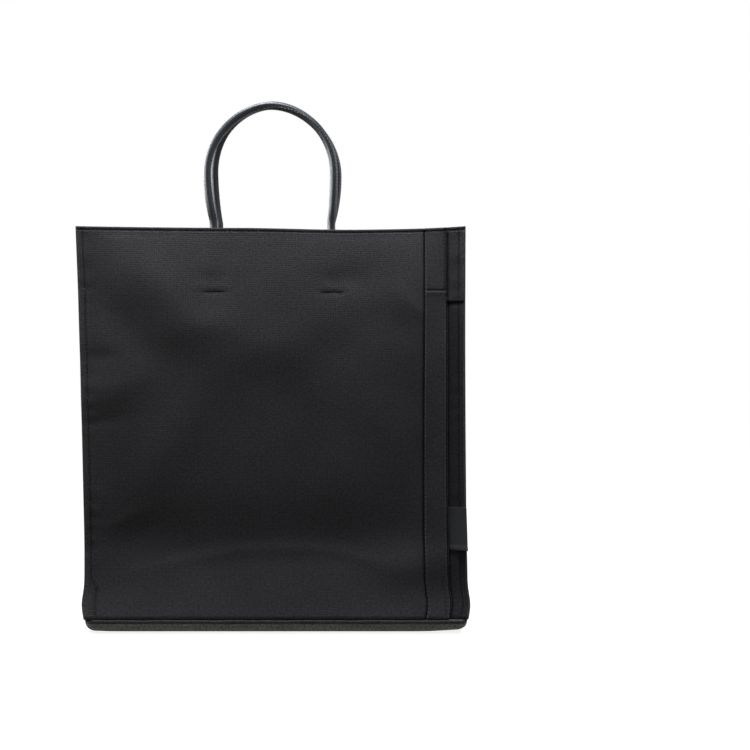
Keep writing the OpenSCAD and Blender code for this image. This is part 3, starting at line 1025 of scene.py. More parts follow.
        # painted shade along the wall's foot, above the piping
        shade = max(shade, 0.8 * line(max(0.0, z - self.wall_foot - 1), 1.6))
        # painted shade round the bar tacks
        for middle in (-TACK_X + TACK_SHIFT, TACK_X + TACK_SHIFT):
            across = max(0.0, abs(x - middle) - 9.0)
            shade = max(shade, line(drop - TACK_DROP, 1.3) * line(across, 2.5))
        # painted shade in the pocket's seams and in the slit at its free edge, wider on the recess
        # side
        if side is Side.FRONT and x > 0:
            seam, edge = self.pocket_seam(z), self.pocket_edge(z)
            shade = max(shade, line(x - seam, 1.3), line(x - edge, 1.2 if x < edge else 1.8))
            if drop < STRIP_DROP:
                shade = max(shade, 0.8 * line(x - edge + STRIP_IN, 0.7))
            if seam < x < edge - 1.5:
                shade = max(shade, 0.95 * line(drop - STRIP_DROP, 0.8))
            if drop > self.height - 52:
                shade = max(shade, 0.6 * line(x - edge + 5.2, 0.7))
        return shade

    def face(
        self, side: Side, x: float, z: float, depth: float = 0.0, seams: bool = True
    ) -> Vector:
        """Give a point of a wall, some way behind its outer face.

        Args:
            side: Which wall.
            x: Distance across, before the bag's lean.
            z: Height, before the hem's sag.
            depth: Distance behind the outer face.
            seams: Whether the seams draw the face in.

        Returns:
            The point.
        """
        out = self.wall_y(x / self.ridge_x(z), z) + self.relief(side, x, z) - depth
        if seams:
            out -= self.groove(side, x, z)
        return Vector((x + self.lean_x(z), side.value * out, z + self.sag_z(x, z)))

    def outward(self, side: Side, x: float, z: float) -> Vector:
        """Give the outward direction of a wall at a place, without its seams."""
        a = self.face(side, x - 1, z, seams=False)
        b = self.face(side, x + 1, z, seams=False)
        low = self.face(side, x, max(self.wall_foot, z - 1), seams=False)
        high = self.face(side, x, min(self.height, z + 1), seams=False)
        normal = (b - a).cross(high - low).normalized()
        return normal if normal.y * side.value > 0 else -normal


HEM_SEAM = 3.2  # from the hem down to its row of stitches
SEAM_STEP = 5.0  # widest distance between the points that a seam is drawn through


def ridge_seam(shape: BagShape, z: float, swings: bool) -> float:
    """Distance from a ridge in to its row of stitches.

    Args:
        shape: Shape of the bag.
        z: Height.
        swings: Whether the row runs off into the corner at its foot.

    Returns:
        The distance.
    """
    return 6.4 + (6.5 * (1 - smooth((z - 40) / 14)) if swings else 1.2 * shape.fade(z, 26))


def seam_line(
    shape: BagShape, side: Side, across: Line, low: float, high: float
) -> list[tuple[Vector, Vector]]:
    """Follow a seam up a wall.

    Args:
        shape: Shape of the bag.
        side: Which wall.
        across: Distance across the wall at each height.
        low: Lowest height.
        high: Highest height.

    Returns:
        Points on the cloth with its outward directions.
    """
    return [
        (shape.face(side, across(z), z), shape.outward(side, across(z), z))
        for z in spread([low, high], SEAM_STEP)
    ]


# Distances from an edge, the hem, the foot and the hem at which a wall has close columns or rows.
EDGE_STEPS = (0.0, 0.5, 1.4, 2.6, 4.0, 5.2, 5.8, 6.4, 7.0, 7.7, 8.8, 10.4, 12.4, 15.0, 18.0, 22.0)
HEM_STEPS = (0.0, 0.5, 1.3, 2.1, 2.7, 3.2, 3.7, 4.4, 5.4, 7.0)
FOOT_STEPS = (0.0, 0.8, 2.0, 3.6, 5.6, 8.0)
TACK_STEPS = (74.0, 71.0, 69.5, 68.6, 68.0, 67.5, 67.0, 66.4)
TACK_STEPS += (65.5, 64.4, 63.6, 63.0, 62.4, 61.6, 60.0)
TACK_DROP = 67.5  # from the hem down to the bar tacks
TACK_X = 60.6  # half the distance between the two tacks of a wall
TACK_SHIFT = 1.4  # how far both pairs lie to the right of the middle
STRIP_DROP = 66.0  # from the hem down to the end of the pocket strip's own stitches
STRIP_IN = 2.5  # from the pocket's edge in to those stitches


@dataclass
class ClothBody:
    """The cloth of the bag: walls, pocket, gussets and the tapes inside the mouth."""

    shape: BagShape
    column_gap: float = 4.5
    row_gap: float = 3.0
    hem_roll: float = 1.3
    panel_share: float = 0.89  # share of a wall's width from its left ridge to the pocket's seam
    curve_spare: float = 6.0  # extra height that a wall is cut to, for its curve
    made: list[bpy.types.Object] = field(default_factory=list)

    def heights(self, low: float, high: float) -> list[float]:
        """Give the rows of a wall piece, close together at its hem and foot.

        Args:
            low: Lowest height.
            high: Highest height.

        Returns:
            Heights in rising order.
        """
        top = [high - s for s in reversed(HEM_STEPS)] if high >= self.shape.height else [high]
        foot = [low + s for s in FOOT_STEPS]
        tacks = [self.shape.height - s for s in TACK_STEPS] if low < 300 and len(top) > 1 else []
        return spread(foot + tacks + top, self.row_gap)

    def wall(
        self,
        name: str,
        side: Side,
        low_x: Line,
        high_x: Line,
        low_z: float,
        high_z: float,
        depth: float,
        thick: float,
        lift: Callable[[float, float], float] | None = None,
        edges: tuple[bool, bool] = (True, True),
        seams: bool = True,
    ) -> bpy.types.Object:
        """Make one piece of a wall.

        Args:
            name: Name of the piece.
            side: Which wall.
            low_x: Where the piece begins across the wall, at each height.
            high_x: Where it ends.
            low_z: Its lowest height.
            high_z: Its highest height.
            depth: Distance of its outer side behind the wall's face.
            thick: Its thickness.
            lift: Extra outward distance at a place.
            edges: Whether each side edge is a ridge or seam that needs close columns.
            seams: Whether the seams draw it in and paint shade along them.

        Returns:
            The new piece.
        """
        width = high_x(low_z) - low_x(low_z)
        close = [s for s in EDGE_STEPS if s < width / 2 - 1]
        columns = [(0.0, s) for s in (close if edges[0] else [0.0])]
        tail = [(1.0, -s) for s in reversed(close if edges[1] else [0.0])]
        first, last = columns[-1][1] / width, 1 + tail[0][1] / width
        middle = spread([first, last], self.column_gap / width)[1:-1]
        columns += [(s, 0.0) for s in middle] + tail

        def grid(back: float) -> Grid:
            """Give the rows of points at a distance behind the outer side."""
            rows = []
            for z in self.heights(low_z, high_z):
                row = []
                for share, off in columns:
                    x = mix(low_x(z), high_x(z), share) + off
                    up = lift(x, z) if lift else 0.0
                    row.append(self.shape.face(side, x, z, depth + back - up, seams))
                rows.append(row)
            return rows

        def wear_and_shade(p: Vector) -> float:
            """Rub the cloth near the hem and the ridges, and paint shade on it along the seams, the
            foot, the bar tacks and the pocket's slit.
            """
            s = self.shape
            sag = s.sag_z(p.x - s.lean_x(p.z), min(p.z, s.height))
            z = min(s.height, max(s.wall_foot, p.z - sag))
            x = p.x - s.lean_x(z)
            from_ridge, from_hem = s.ridge_x(z) - abs(x), s.height - z
            rub = max(0.6 * math.exp(-max(0, from_ridge) / 2.6), 0.35 * math.exp(-from_hem / 1.2))
            return rub - (s.seam_shade(side, x, z) if seams else 0.0)

        return make_sheet(name, grid(0.0), grid(thick), wear_and_shade)

    def pocket_lift(self, x: float, z: float) -> float:
        """Outward bow of the pocket towards its free edge."""
        near = smooth((x - self.shape.pocket_edge(z) + 60) / 60)
        window = smooth((z - 50) / 30) * smooth((self.shape.height - self.shape.patch_h - z) / 50)
        return 1.5 * near * near * window

    def recess_lift(self, x: float, z: float) -> float:
        """Outward swell of the inner wall where it comes out under the corner patch."""
        s = self.shape
        below = s.height - s.patch_h - 1.5 - z
        past_edge = smooth((x - s.pocket_edge(z) - 1.5) / 4)
        return 0.9 * smooth(below / 5) * smooth(1 - below / 90) * past_edge

    def build(
        self, canvas: bpy.types.Material, inner: bpy.types.Material, tape: bpy.types.Material
    ) -> None:
        """Make and dress every cloth piece.

        Args:
            canvas: Outer canvas.
            inner: Canvas behind the pocket, made darker as painted shade.
            tape: Facing tape.
        """
        s = self.shape
        foot, top = s.wall_foot, s.height
        front = self.wall(
            "front_panel_cloth",
            Side.FRONT,
            lambda z: -s.ridge_x(z),
            lambda z: s.pocket_seam(z) - s.layer_gap,
            foot,
            top,
            0.0,
            s.canvas_t,
            self.pocket_lift,
            (True, True),
        )
        self.dress(front, canvas, ("front_panel",))
        strip = self.wall(
            "pocket_edge_strip_cloth",
            Side.FRONT,
            s.pocket_seam,
            s.pocket_edge,
            foot,
            top,
            0.0,
            s.canvas_t + 0.3,
            self.pocket_lift,
        )
        self.dress(strip, canvas, ("pocket_edge_strip",))
        wall = self.wall(
            "front_inner_wall_cloth",
            Side.FRONT,
            lambda z: -s.ridge_x(z),
            s.ridge_x,
            foot,
            top,
            s.canvas_t + s.pocket_gap,
            s.canvas_t,
            self.recess_lift,
        )
        self.dress(wall, inner, ("front_inner_wall",))
        patch = self.wall(
            "corner_patch_cloth",
            Side.FRONT,
            lambda z: s.pocket_edge(z) + s.layer_gap,
            s.ridge_x,
            top - s.patch_h,
            top,
            0.0,
            s.canvas_t,
            lambda x, z: smooth((top - s.patch_h + 11 - z) / 11) ** 1.5
            * (0.9 * smooth(1 - (x - s.pocket_edge(z)) / 8) - 0.25),
        )
        self.dress(patch, canvas, ("corner_patch",))
        back = self.wall(
            "back_panel_cloth",
            Side.BACK,
            lambda z: -s.ridge_x(z),
            s.ridge_x,
            foot,
            top,
            0.0,
            s.canvas_t,
        )
        self.dress(back, canvas, ("back_panel",))
        for side, node, behind in (
            (Side.FRONT, "front_facing", s.front_layers),
            (Side.BACK, "back_facing", s.canvas_t),
        ):
            low, high = box_mm(node)
            half = (high.x - low.x) / 2
            facing = self.wall(
                node + "_tape",
                side,
                lambda z, half=half: -half - s.ridge_x(top) + s.ridge_x(z),
                lambda z, half=half: half + s.ridge_x(z) - s.ridge_x(top),
                low.z,
                top,
                behind + s.layer_gap,
                s.facing_t,
                seams=False,
                edges=(False, False),
            )
            self.dress(facing, tape, (node,))
            self.hem_fold(side, behind + s.layer_gap + s.facing_t, canvas)

    def dress(
        self,
        obj: bpy.types.Object,
        material: bpy.types.Material,
        nodes: tuple[str, ...],
    ) -> None:
        """Finish a cloth piece, seat it on the bag and let it stand for its solids.

        Args:
            obj: The piece.
            material: Its cloth.
            nodes: Solids that it replaces.
        """
        finish_piece(obj, material)
        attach(obj, "bag")
        if nodes:
            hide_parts(*nodes)
        self.made.append(obj)

    def hem_fold(self, side: Side, depth: float, material: bpy.types.Material) -> None:
        """Make the rounded fold that closes the layers along a wall's hem.

        Args:
            side: Which wall.
            depth: Thickness of the layers that it folds over.
            material: Its cloth.
        """
        s = self.shape
        half = s.ridge_x(s.height) - 0.6
        rings = []
        for x in spread([-half, half], 4.0):
            middle = s.face(side, x, s.height, depth / 2, seams=False) - Vector((0, 0, 0.9))
            along = s.face(side, x + 0.5, s.height, seams=False) - s.face(
                side, x - 0.5, s.height, seams=False
            )
            out = Vector((0, side.value, 0))
            up = along.normalized().cross(out).normalized()
            rings.append(Ring(middle, out, up, depth / 2, self.hem_roll))
        fold = make_rod(f"{side.name.lower()}_hem_fold", rings, 12, wear_and_shade=0.15)
        self.dress(fold, material, ())


@dataclass
class Gusset:
    """One side gusset, folded inwards like the side of a paper bag, and the tape along its hem."""

    shape: BagShape
    hand: Hand
    half: float = 68.0
    apex_z: float = 94.0
    apex_y: float = 14.0  # how far the triangle's point lies towards the back
    fin: float = 5.5
    fin_foot: float = 2.5
    hem_h: float = 12.0
    dip: float = 5.0
    hem_skip: float = 14.0
    steps: int = 22
    crease_h: float = 150.0  # height over which the crease swings to the middle plane
    shade_foot: float = 150.0  # height from which painted shade darkens the inner fold

    @property
    def name(self) -> str:
        """Plain name of the gusset."""
        return f"{self.hand.name.lower()}_gusset"

    def crease_y(self, z: float) -> float:
        """Place of the middle crease at height z, from the middle plane to the back."""
        return self.apex_y * (1 - smooth((z - self.apex_z) / self.crease_h))

    def fin_w(self, z: float) -> float:
        """Width of the pinched fin at height z."""
        return mix(self.fin, self.fin_foot, self.shape.fade(z, 46))

    def fold_in(self, z: float) -> float:
        """Depth of the inward fold at height z."""
        s = self.shape

        def free(h: float) -> float:
            """Depth that the cloth's length allows at height h."""
            return math.sqrt(max(1.0, self.half**2 - (s.wall_y(1, h) - s.front_layers) ** 2))

        t = (z - s.wall_foot) / (self.apex_z - s.wall_foot)
        soft = 10.0
        if z > self.apex_z + soft:
            return free(z)
        low = free(self.apex_z) * min(1.0, t)
        if z < self.apex_z - soft:
            return low
        return mix(low, free(max(z, self.apex_z)), smooth((z - self.apex_z + soft) / (2 * soft)))

    def section(self, z: float) -> list[tuple[float, float]]:
        """Give the outer face of the right gusset at height z, from the front to the back.

        Args:
            z: Height.

        Returns:
            Points as distances across and back.
        """
        s = self.shape
        tip, root = s.ridge_x(z), s.ridge_x(z) - self.fin_w(z)
        front = -(s.wall_y(1, z) - s.front_layers - s.layer_gap - s.canvas_t)
        back = s.wall_y(1, z) - s.canvas_t - s.layer_gap - s.canvas_t
        deep = root - self.fold_in(z)
        up = (z - s.wall_foot) / (self.apex_z - s.wall_foot)
        crease = self.crease_y(z)
        fore = mix(front, crease - 2.2, min(1.0, up))
        aft = mix(back, crease + 2.2, min(1.0, up))
        rim = tip - 0.4 * self.fin_w(z)
        out = [(tip, front), (rim, front), (root + 0.8, front), (root - 0.2, front + 0.5)]
        for i in range(1, self.steps):
            t = i / self.steps
            bow = self.bow(t, z, -1)
            out.append((mix(root, deep, t) + bow, mix(front, fore, t)))
        flat = [(deep, fore), (deep - 0.8, mix(fore, aft, 0.5)), (deep, aft)]
        if aft - fore > 14:
            flat = [
                (deep - 0.5 * math.sin(math.pi * t / 8), mix(fore, aft, t / 8)) for t in range(9)
            ]
        while len(flat) < 9:
            flat.insert(1, ((flat[0][0] + flat[1][0]) / 2, (flat[0][1] + flat[1][1]) / 2))
        out += flat
        for i in range(self.steps - 1, 0, -1):
            t = i / self.steps
            out.append((mix(root, deep, t) + self.bow(t, z, 1), mix(back, aft, t)))
        out += [(root - 0.2, back - 0.5), (root + 0.8, back), (rim, back), (tip, back)]
        return out

    def bow(self, t: float, z: float, half: int) -> float:
        """Outward bow of one half of the gusset, with its slanting folds.

        Args:
            t: Share of the way from the ridge to the crease.
            z: Height.
            half: -1 for the front half and 1 for the back half.

        Returns:
            Outward distance across.
        """
        full = math.sin(math.pi * t) * smooth((z - self.apex_z) / 60)
        belly = 2.2 * full * (1 if half < 0 else 0.4)
        slant = z - (270 - 70 * (1 - t)) if half < 0 else z - (215 + 40 * (1 - t))
        crest = 3.0 if half < 0 else 1.6
        crest *= math.sin(math.pi * min(1, 1.15 * t))
        return belly + crest * math.exp(-((slant / 17) ** 2)) * full

    def row(self, z: float, back: float, line: list[tuple[float, float]]) -> list[Vector]:
        """Place one section of the gusset in the bag.

        Args:
            z: Height.
            back: Distance inside the outer face.
            line: Section from section().

        Returns:
            The row of points.
        """
        s = self.shape
        out = []
        last = len(line) - 1
        for i, (x, y) in enumerate(line):
            a, b = line[max(0, i - 1)], line[min(last, i + 1)]
            size = math.hypot(b[0] - a[0], b[1] - a[1]) or 1.0
            nx, ny = (b[1] - a[1]) / size, -(b[0] - a[0]) / size
            dip = self.dip * smooth((z - (s.height - 30)) / 30) * (
                1 - min(1.0, abs(y) / s.wall_y(1, z)) ** 2
            )
            across = (x - nx * back) * self.hand.value + s.lean_x(z)
            out.append(Vector((across, y - ny * back, z - dip)))
        return out

    def build(self, canvas: bpy.types.Material, tape: bpy.types.Material, body: ClothBody) -> None:
        """Make and dress the gusset, its hem tape and the fold along its hem.

        Args:
            canvas: Outer canvas.
            tape: Facing tape.
            body: The bag's cloth, which keeps the pieces.
        """
        s = self.shape
        rows = spread([s.wall_foot, s.wall_foot + 3, self.apex_z, s.height - 8, s.height], 3.6)

        def grid(back: float) -> Grid:
            """Give the rows of points at a distance inside the outer face."""
            return [self.row(z, back, self.section(z)) for z in rows]

        def wear_and_shade(p: Vector) -> float:
            """Rub the cloth near the hem and the fins, and paint shade over the fold's upper part,
            darkest along its crease.
            """
            z = min(s.height, max(s.wall_foot, p.z))
            from_tip = s.ridge_x(z) - abs(p.x - s.lean_x(z))
            # painted shade inside the fold, over its upper part and darkest at the crease
            near = max(0.0, 1 - abs(p.y - self.crease_y(z)) / 16)
            painted_shade = (0.6 + 0.35 * near) * smooth((z - self.shade_foot) / 200)
            painted_shade *= smooth((from_tip - 5) / 6)
            if painted_shade > 0.02:
                return -painted_shade
            return max(0.4 * math.exp(-max(0, from_tip) / 3), 0.5 * math.exp(-(s.height - z) / 1.6))

        cloth = make_sheet(self.name + "_cloth", grid(0.0), grid(s.canvas_t), wear_and_shade)
        body.dress(cloth, canvas, (self.name,))
        band = [s.height - self.hem_h, s.height - 6, s.height - 0.2]
        trim = 8

        def tape_grid(back: float) -> Grid:
            """Give the rows of the hem tape at a distance inside the gusset."""
            return [self.row(z, back, self.section(z))[trim:-trim] for z in band]

        gap = s.canvas_t + s.layer_gap
        hem = make_sheet(self.name + "_hem_tape", tape_grid(gap), tape_grid(gap + s.facing_t))
        body.dress(hem, tape, (self.name + "_hem",))
        edge = self.row(s.height, (gap + s.facing_t) / 2, self.section(s.height))[5:-5]
        rings = []
        for i, p in enumerate(edge):
            along = (edge[min(i + 1, len(edge) - 1)] - edge[max(i - 1, 0)]).normalized()
            up = Vector((0, 0, 1))
            side = along.cross(up).normalized()
            rings.append(Ring(p - up * 0.5, side, up, (gap + s.facing_t) / 2 + 0.05, 1.1))
        fold = make_rod(self.name + "_hem_fold", rings, 10, wear_and_shade=0.45)
        body.dress(fold, canvas, ())

    def fin_seam(self, half: int) -> list[tuple[Vector, Vector]]:
        """Follow the stitches where the gusset leaves its fin.

        Args:
            half: -1 for the front fin and 1 for the back one.

        Returns:
            Points with outward directions.
        """
        s = self.shape
        out = []
        for z in spread([s.wall_foot + 2, s.height - 3], SEAM_STEP):
            line = self.section(z)
            row = self.row(z, 0.0, line)
            row = row if half < 0 else row[::-1]
            at = row[3].lerp(row[4], 0.25)
            along = (row[4] - row[3]).normalized()
            normal = Vector((-along.y, along.x, 0)) * (1 if along.x * half > 0 else -1)
            toward = Vector((self.hand.value, 0, 0))
            normal = normal if normal.dot(toward) > 0 else -normal
            out.append((at, normal))
        return out

    def hem_seam(self) -> list[tuple[Vector, Vector]]:
        """Follow the stitches under the gusset's hem."""
        s = self.shape
        z = s.height - HEM_SEAM
        line = self.section(z)
        row = self.row(z, 0.0, line)
        out = []
        for i in range(4, len(row) - 4):
            along = (row[i + 1] - row[i - 1]).normalized()
            normal = Vector((along.y, -along.x, 0)).normalized()
            if normal.x * self.hand.value < 0:
                normal = -normal
            out.append((row[i], normal))
        return out


@dataclass
class Ridges:
    """The four upright ridges, where wall and gusset meet in a turned and stitched edge."""

    shape: BagShape
    roll: float = 1.15

    def build(self, canvas: bpy.types.Material, body: ClothBody) -> None:
        """Make and dress the turned edges.

        Args:
            canvas: Outer canvas.
            body: The bag's cloth, which keeps the pieces.
        """
        s = self.shape
        for side in Side:
            layers = s.front_layers if side is Side.FRONT else s.canvas_t
            depth = layers + s.layer_gap + s.canvas_t
            for hand in Hand:
                rings = []
                for z in spread([s.wall_foot + 0.4, s.height - 0.8], 3.5):
                    x = hand.value * (s.ridge_x(z) - 0.55)
                    middle = s.face(side, x, z, depth / 2, seams=False)
                    out = Vector((0, side.value, 0))
                    rings.append(
                        Ring(middle, out, Vector((hand.value, 0, 0)), depth / 2 + 0.08, self.roll)
                    )
                edge = make_rod(
                    f"{side.name.lower()}_{hand.name.lower()}_ridge_edge",
                    rings,
                    14,
                    swell=lambda turn, ring: -0.3 * math.exp(-(((turn - 90) / 14) ** 2)),
                    wear_and_shade=0.15,
                )
                body.dress(edge, canvas, ())


@dataclass
class Base:
    """The boarded base: a turned-up pan of coarse cloth, the piping round it and the board."""

    shape: BagShape
    edge_r: float = 10.0
    cloth_t: float = 1.6
    piping_d: float = 4.0

    def build(
        self, cloth: bpy.types.Material, piping: bpy.types.Material, board: bpy.types.Material
    ) -> None:
        """Make and dress the base.

        Args:
            cloth: Base cloth.
            piping: Piping cloth.
            board: Board skin.
        """
        self.pan(cloth)
        self.cord(piping)
        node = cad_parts["base_board"]
        node.data.materials.clear()
        node.data.materials.append(board)

    def pan(self, cloth: bpy.types.Material) -> None:
        """Model the pan from a block: round its edges, open its top, and give it a wall.

        Args:
            cloth: Base cloth.
        """
        s = self.shape
        high = box_mm("base_panel")[1]
        w, d, h = s.base_width * MM, s.base_depth * MM, 2 * self.edge_r * MM
        bpy.ops.object.select_all(action="DESELECT")
        bpy.ops.mesh.primitive_cube_add(size=1, location=(0, 0, h / 2))
        pan = bpy.context.object
        pan.name = pan.data.name = "base_panel_cloth"
        pan.scale = (w, d, h)
        bpy.ops.object.transform_apply(location=True, rotation=True, scale=True)
        bpy.ops.object.mode_set(mode="EDIT")
        self.pick_edges(pan, lambda a, b: abs(a.z - b.z) > h / 2)
        bpy.ops.mesh.bevel(offset=s.corner_r * MM, segments=10, profile=0.5)
        self.pick_edges(pan, lambda a, b: a.z < 0.1 * MM and b.z < 0.1 * MM)
        bpy.ops.mesh.bevel(offset=self.edge_r * MM, segments=10, profile=0.5)
        bpy.ops.mesh.select_all(action="SELECT")
        bpy.ops.mesh.bisect(plane_co=(0, 0, high.z * MM), plane_no=(0, 0, 1), clear_outer=True)
        for axis, half in ((0, w / 2), (1, d / 2)):
            count = int(2 * half / 0.012)
            for i in range(1, count):
                at = [0.0, 0.0, 0.0]
                at[axis] = -half + 2 * half * i / count
                normal = [0.0, 0.0, 0.0]
                normal[axis] = 1.0
                bpy.ops.mesh.select_all(action="SELECT")
                bpy.ops.mesh.bisect(plane_co=at, plane_no=normal)
        bpy.ops.mesh.select_all(action="DESELECT")
        bpy.ops.object.mode_set(mode="OBJECT")
        rng = random.Random(7)
        waves = [(rng.uniform(20, 70), rng.uniform(20, 70), rng.uniform(0, 6)) for _ in range(7)]
        for v in pan.data.vertices:
            x, y, z = v.co / MM
            bump = sum(math.sin(x / a + y / b + c) for a, b, c in waves) / len(waves)
            edge = smooth((z - 0.5) / 4)
            away = Vector((v.co.x, v.co.y, 0)).normalized()
            v.co += away * bump * edge * 0.5 * MM
            notch = math.exp(-((y / 3.2) ** 2)) * (1 if abs(x) > s.base_width / 2 - 16 else 0)
            v.co -= away * notch * 0.9 * MM * smooth(z / 5)
            lift = 2.0 * smooth((x - s.base_width / 2 + 46) / 46)
            lift += 0.8 * smooth((-x - s.base_width / 2 + 30) / 30)
            v.co.z += (max(0.0, bump) * 0.25 * edge + lift * max(0.0, 1 - z / 9)) * MM
        shell = pan.modifiers.new("wall", "SOLIDIFY")
        shell.thickness = self.cloth_t * MM
        shell.offset = -1
        bpy.context.view_layer.objects.active = pan
        bpy.ops.object.modifier_apply(modifier="wall")
        mesh = pan.data
        for old in list(mesh.uv_layers):
            mesh.uv_layers.remove(old)
        layer = mesh.uv_layers.new(name=CLOTH_UV)
        for poly in mesh.polygons:
            n = poly.normal
            for i in poly.loop_indices:
                co = mesh.vertices[mesh.loops[i].vertex_index].co
                if abs(n.z) > 0.75:
                    layer.data[i].uv = (co.x, co.y)
                else:
                    layer.data[i].uv = (co.x - co.y if n.x * n.y > 0 else co.x + co.y, co.z)
        rubbed = [max(0.0, 1 - abs(v.co.z / MM - 1.5) / 3.5) for v in mesh.vertices]
        mesh.attributes.new(WEAR_AND_SHADE, "FLOAT", "POINT").data.foreach_set("value", rubbed)
        bpy.ops.object.select_all(action="DESELECT")
        pan.select_set(True)
        bpy.ops.object.shade_smooth_by_angle(angle=math.radians(50))
        finish_piece(pan, cloth)
        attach(pan, "bag")
        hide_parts("base_panel")

    @staticmethod
    def pick_edges(obj: bpy.types.Object, wanted: Callable[[Vector, Vector], bool]) -> None:
        """Select the edges of a mesh in edit mode by the places of their ends.

        Args:
            obj: Object in edit mode.
            wanted: Whether an edge with these ends is picked.
        """
        body = bmesh.from_edit_mesh(obj.data)
        bpy.context.tool_settings.mesh_select_mode = (False, True, False)
        for edge in body.edges:
            edge.select_set(wanted(edge.verts[0].co, edge.verts[1].co))
        body.select_flush_mode()
        bmesh.update_edit_mesh(obj.data)

    def outline(self, inset: float, step: float) -> list[tuple[Vector, Vector]]:
        """Walk round the base from the middle of the right side.

        Args:
            inset: Distance inside the base's outline.
            step: Distance between the points.

        Returns:
            Points with outward directions.
        """
        s = self.shape
        r = s.corner_r - inset
        hx, hy = s.base_width / 2 - s.corner_r, s.base_depth / 2 - s.corner_r
        out = []
        corners = [((hx, hy), 0), ((-hx, hy), 90), ((-hx, -hy), 180), ((hx, -hy), 270)]
        out += [(Vector((hx + r, y, 0)), Vector((1, 0, 0))) for y in spread([0, hy], step)]
        for i, ((cx, cy), turn) in enumerate(corners):
            for k in range(1, 9):
                a = math.radians(turn + 90 * k / 8)
                away = Vector((math.cos(a), math.sin(a), 0))
                out.append((Vector((cx, cy, 0)) + away * r, away))
            if i < 3:
                (nx, ny), _ = corners[i + 1]
                start = out[-1][0]
                away = out[-1][1]
                end = Vector((nx, ny, 0)) + away * r
                count = max(2, int((end - start).length / step))
                out += [(start.lerp(end, k / count), away) for k in range(1, count + 1)]
        end = Vector((hx + r, 0, 0))
        start = out[-1][0]
        out += [(start.lerp(end, k / 12), Vector((1, 0, 0))) for k in range(1, 13)]
        return out

    def cord(self, cloth: bpy.types.Material) -> None:
        """Make the piping, whose two ends cross in the middle of the right side.

        Args:
            cloth: Piping cloth.
        """
        low, high = box_mm("base_piping")
        r = self.piping_d / 2
        z = (low.z + high.z) / 2
        path = self.outline(r, 5.0)
        rings = []
        count = len(path)
        for i, (p, away) in enumerate(path):
            start, end = smooth(1 - i / 4), smooth(1 - (count - 1 - i) / 4)
            up = z + 2.2 * end - 0.8 * start + 0.25 * math.sin(i * 0.7) * math.sin(i * 0.23)
            out = 0.7 + 0.4 * end + 0.1 * start
            shift = Vector((0, -5.0 * start + 5.0 * end, 0)) if i < 4 or i > count - 5 else Vector()
            middle = p + away * (out - 0.05) + shift + Vector((0, 0, up))
            rings.append(Ring(middle, away, Vector((0, 0, 1)), r, r))
        cord = make_rod("base_piping_cord", rings, 14, wear_and_shade=0.25)
        finish_piece(cord, cloth)
        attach(cord, "bag")
        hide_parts("base_piping")


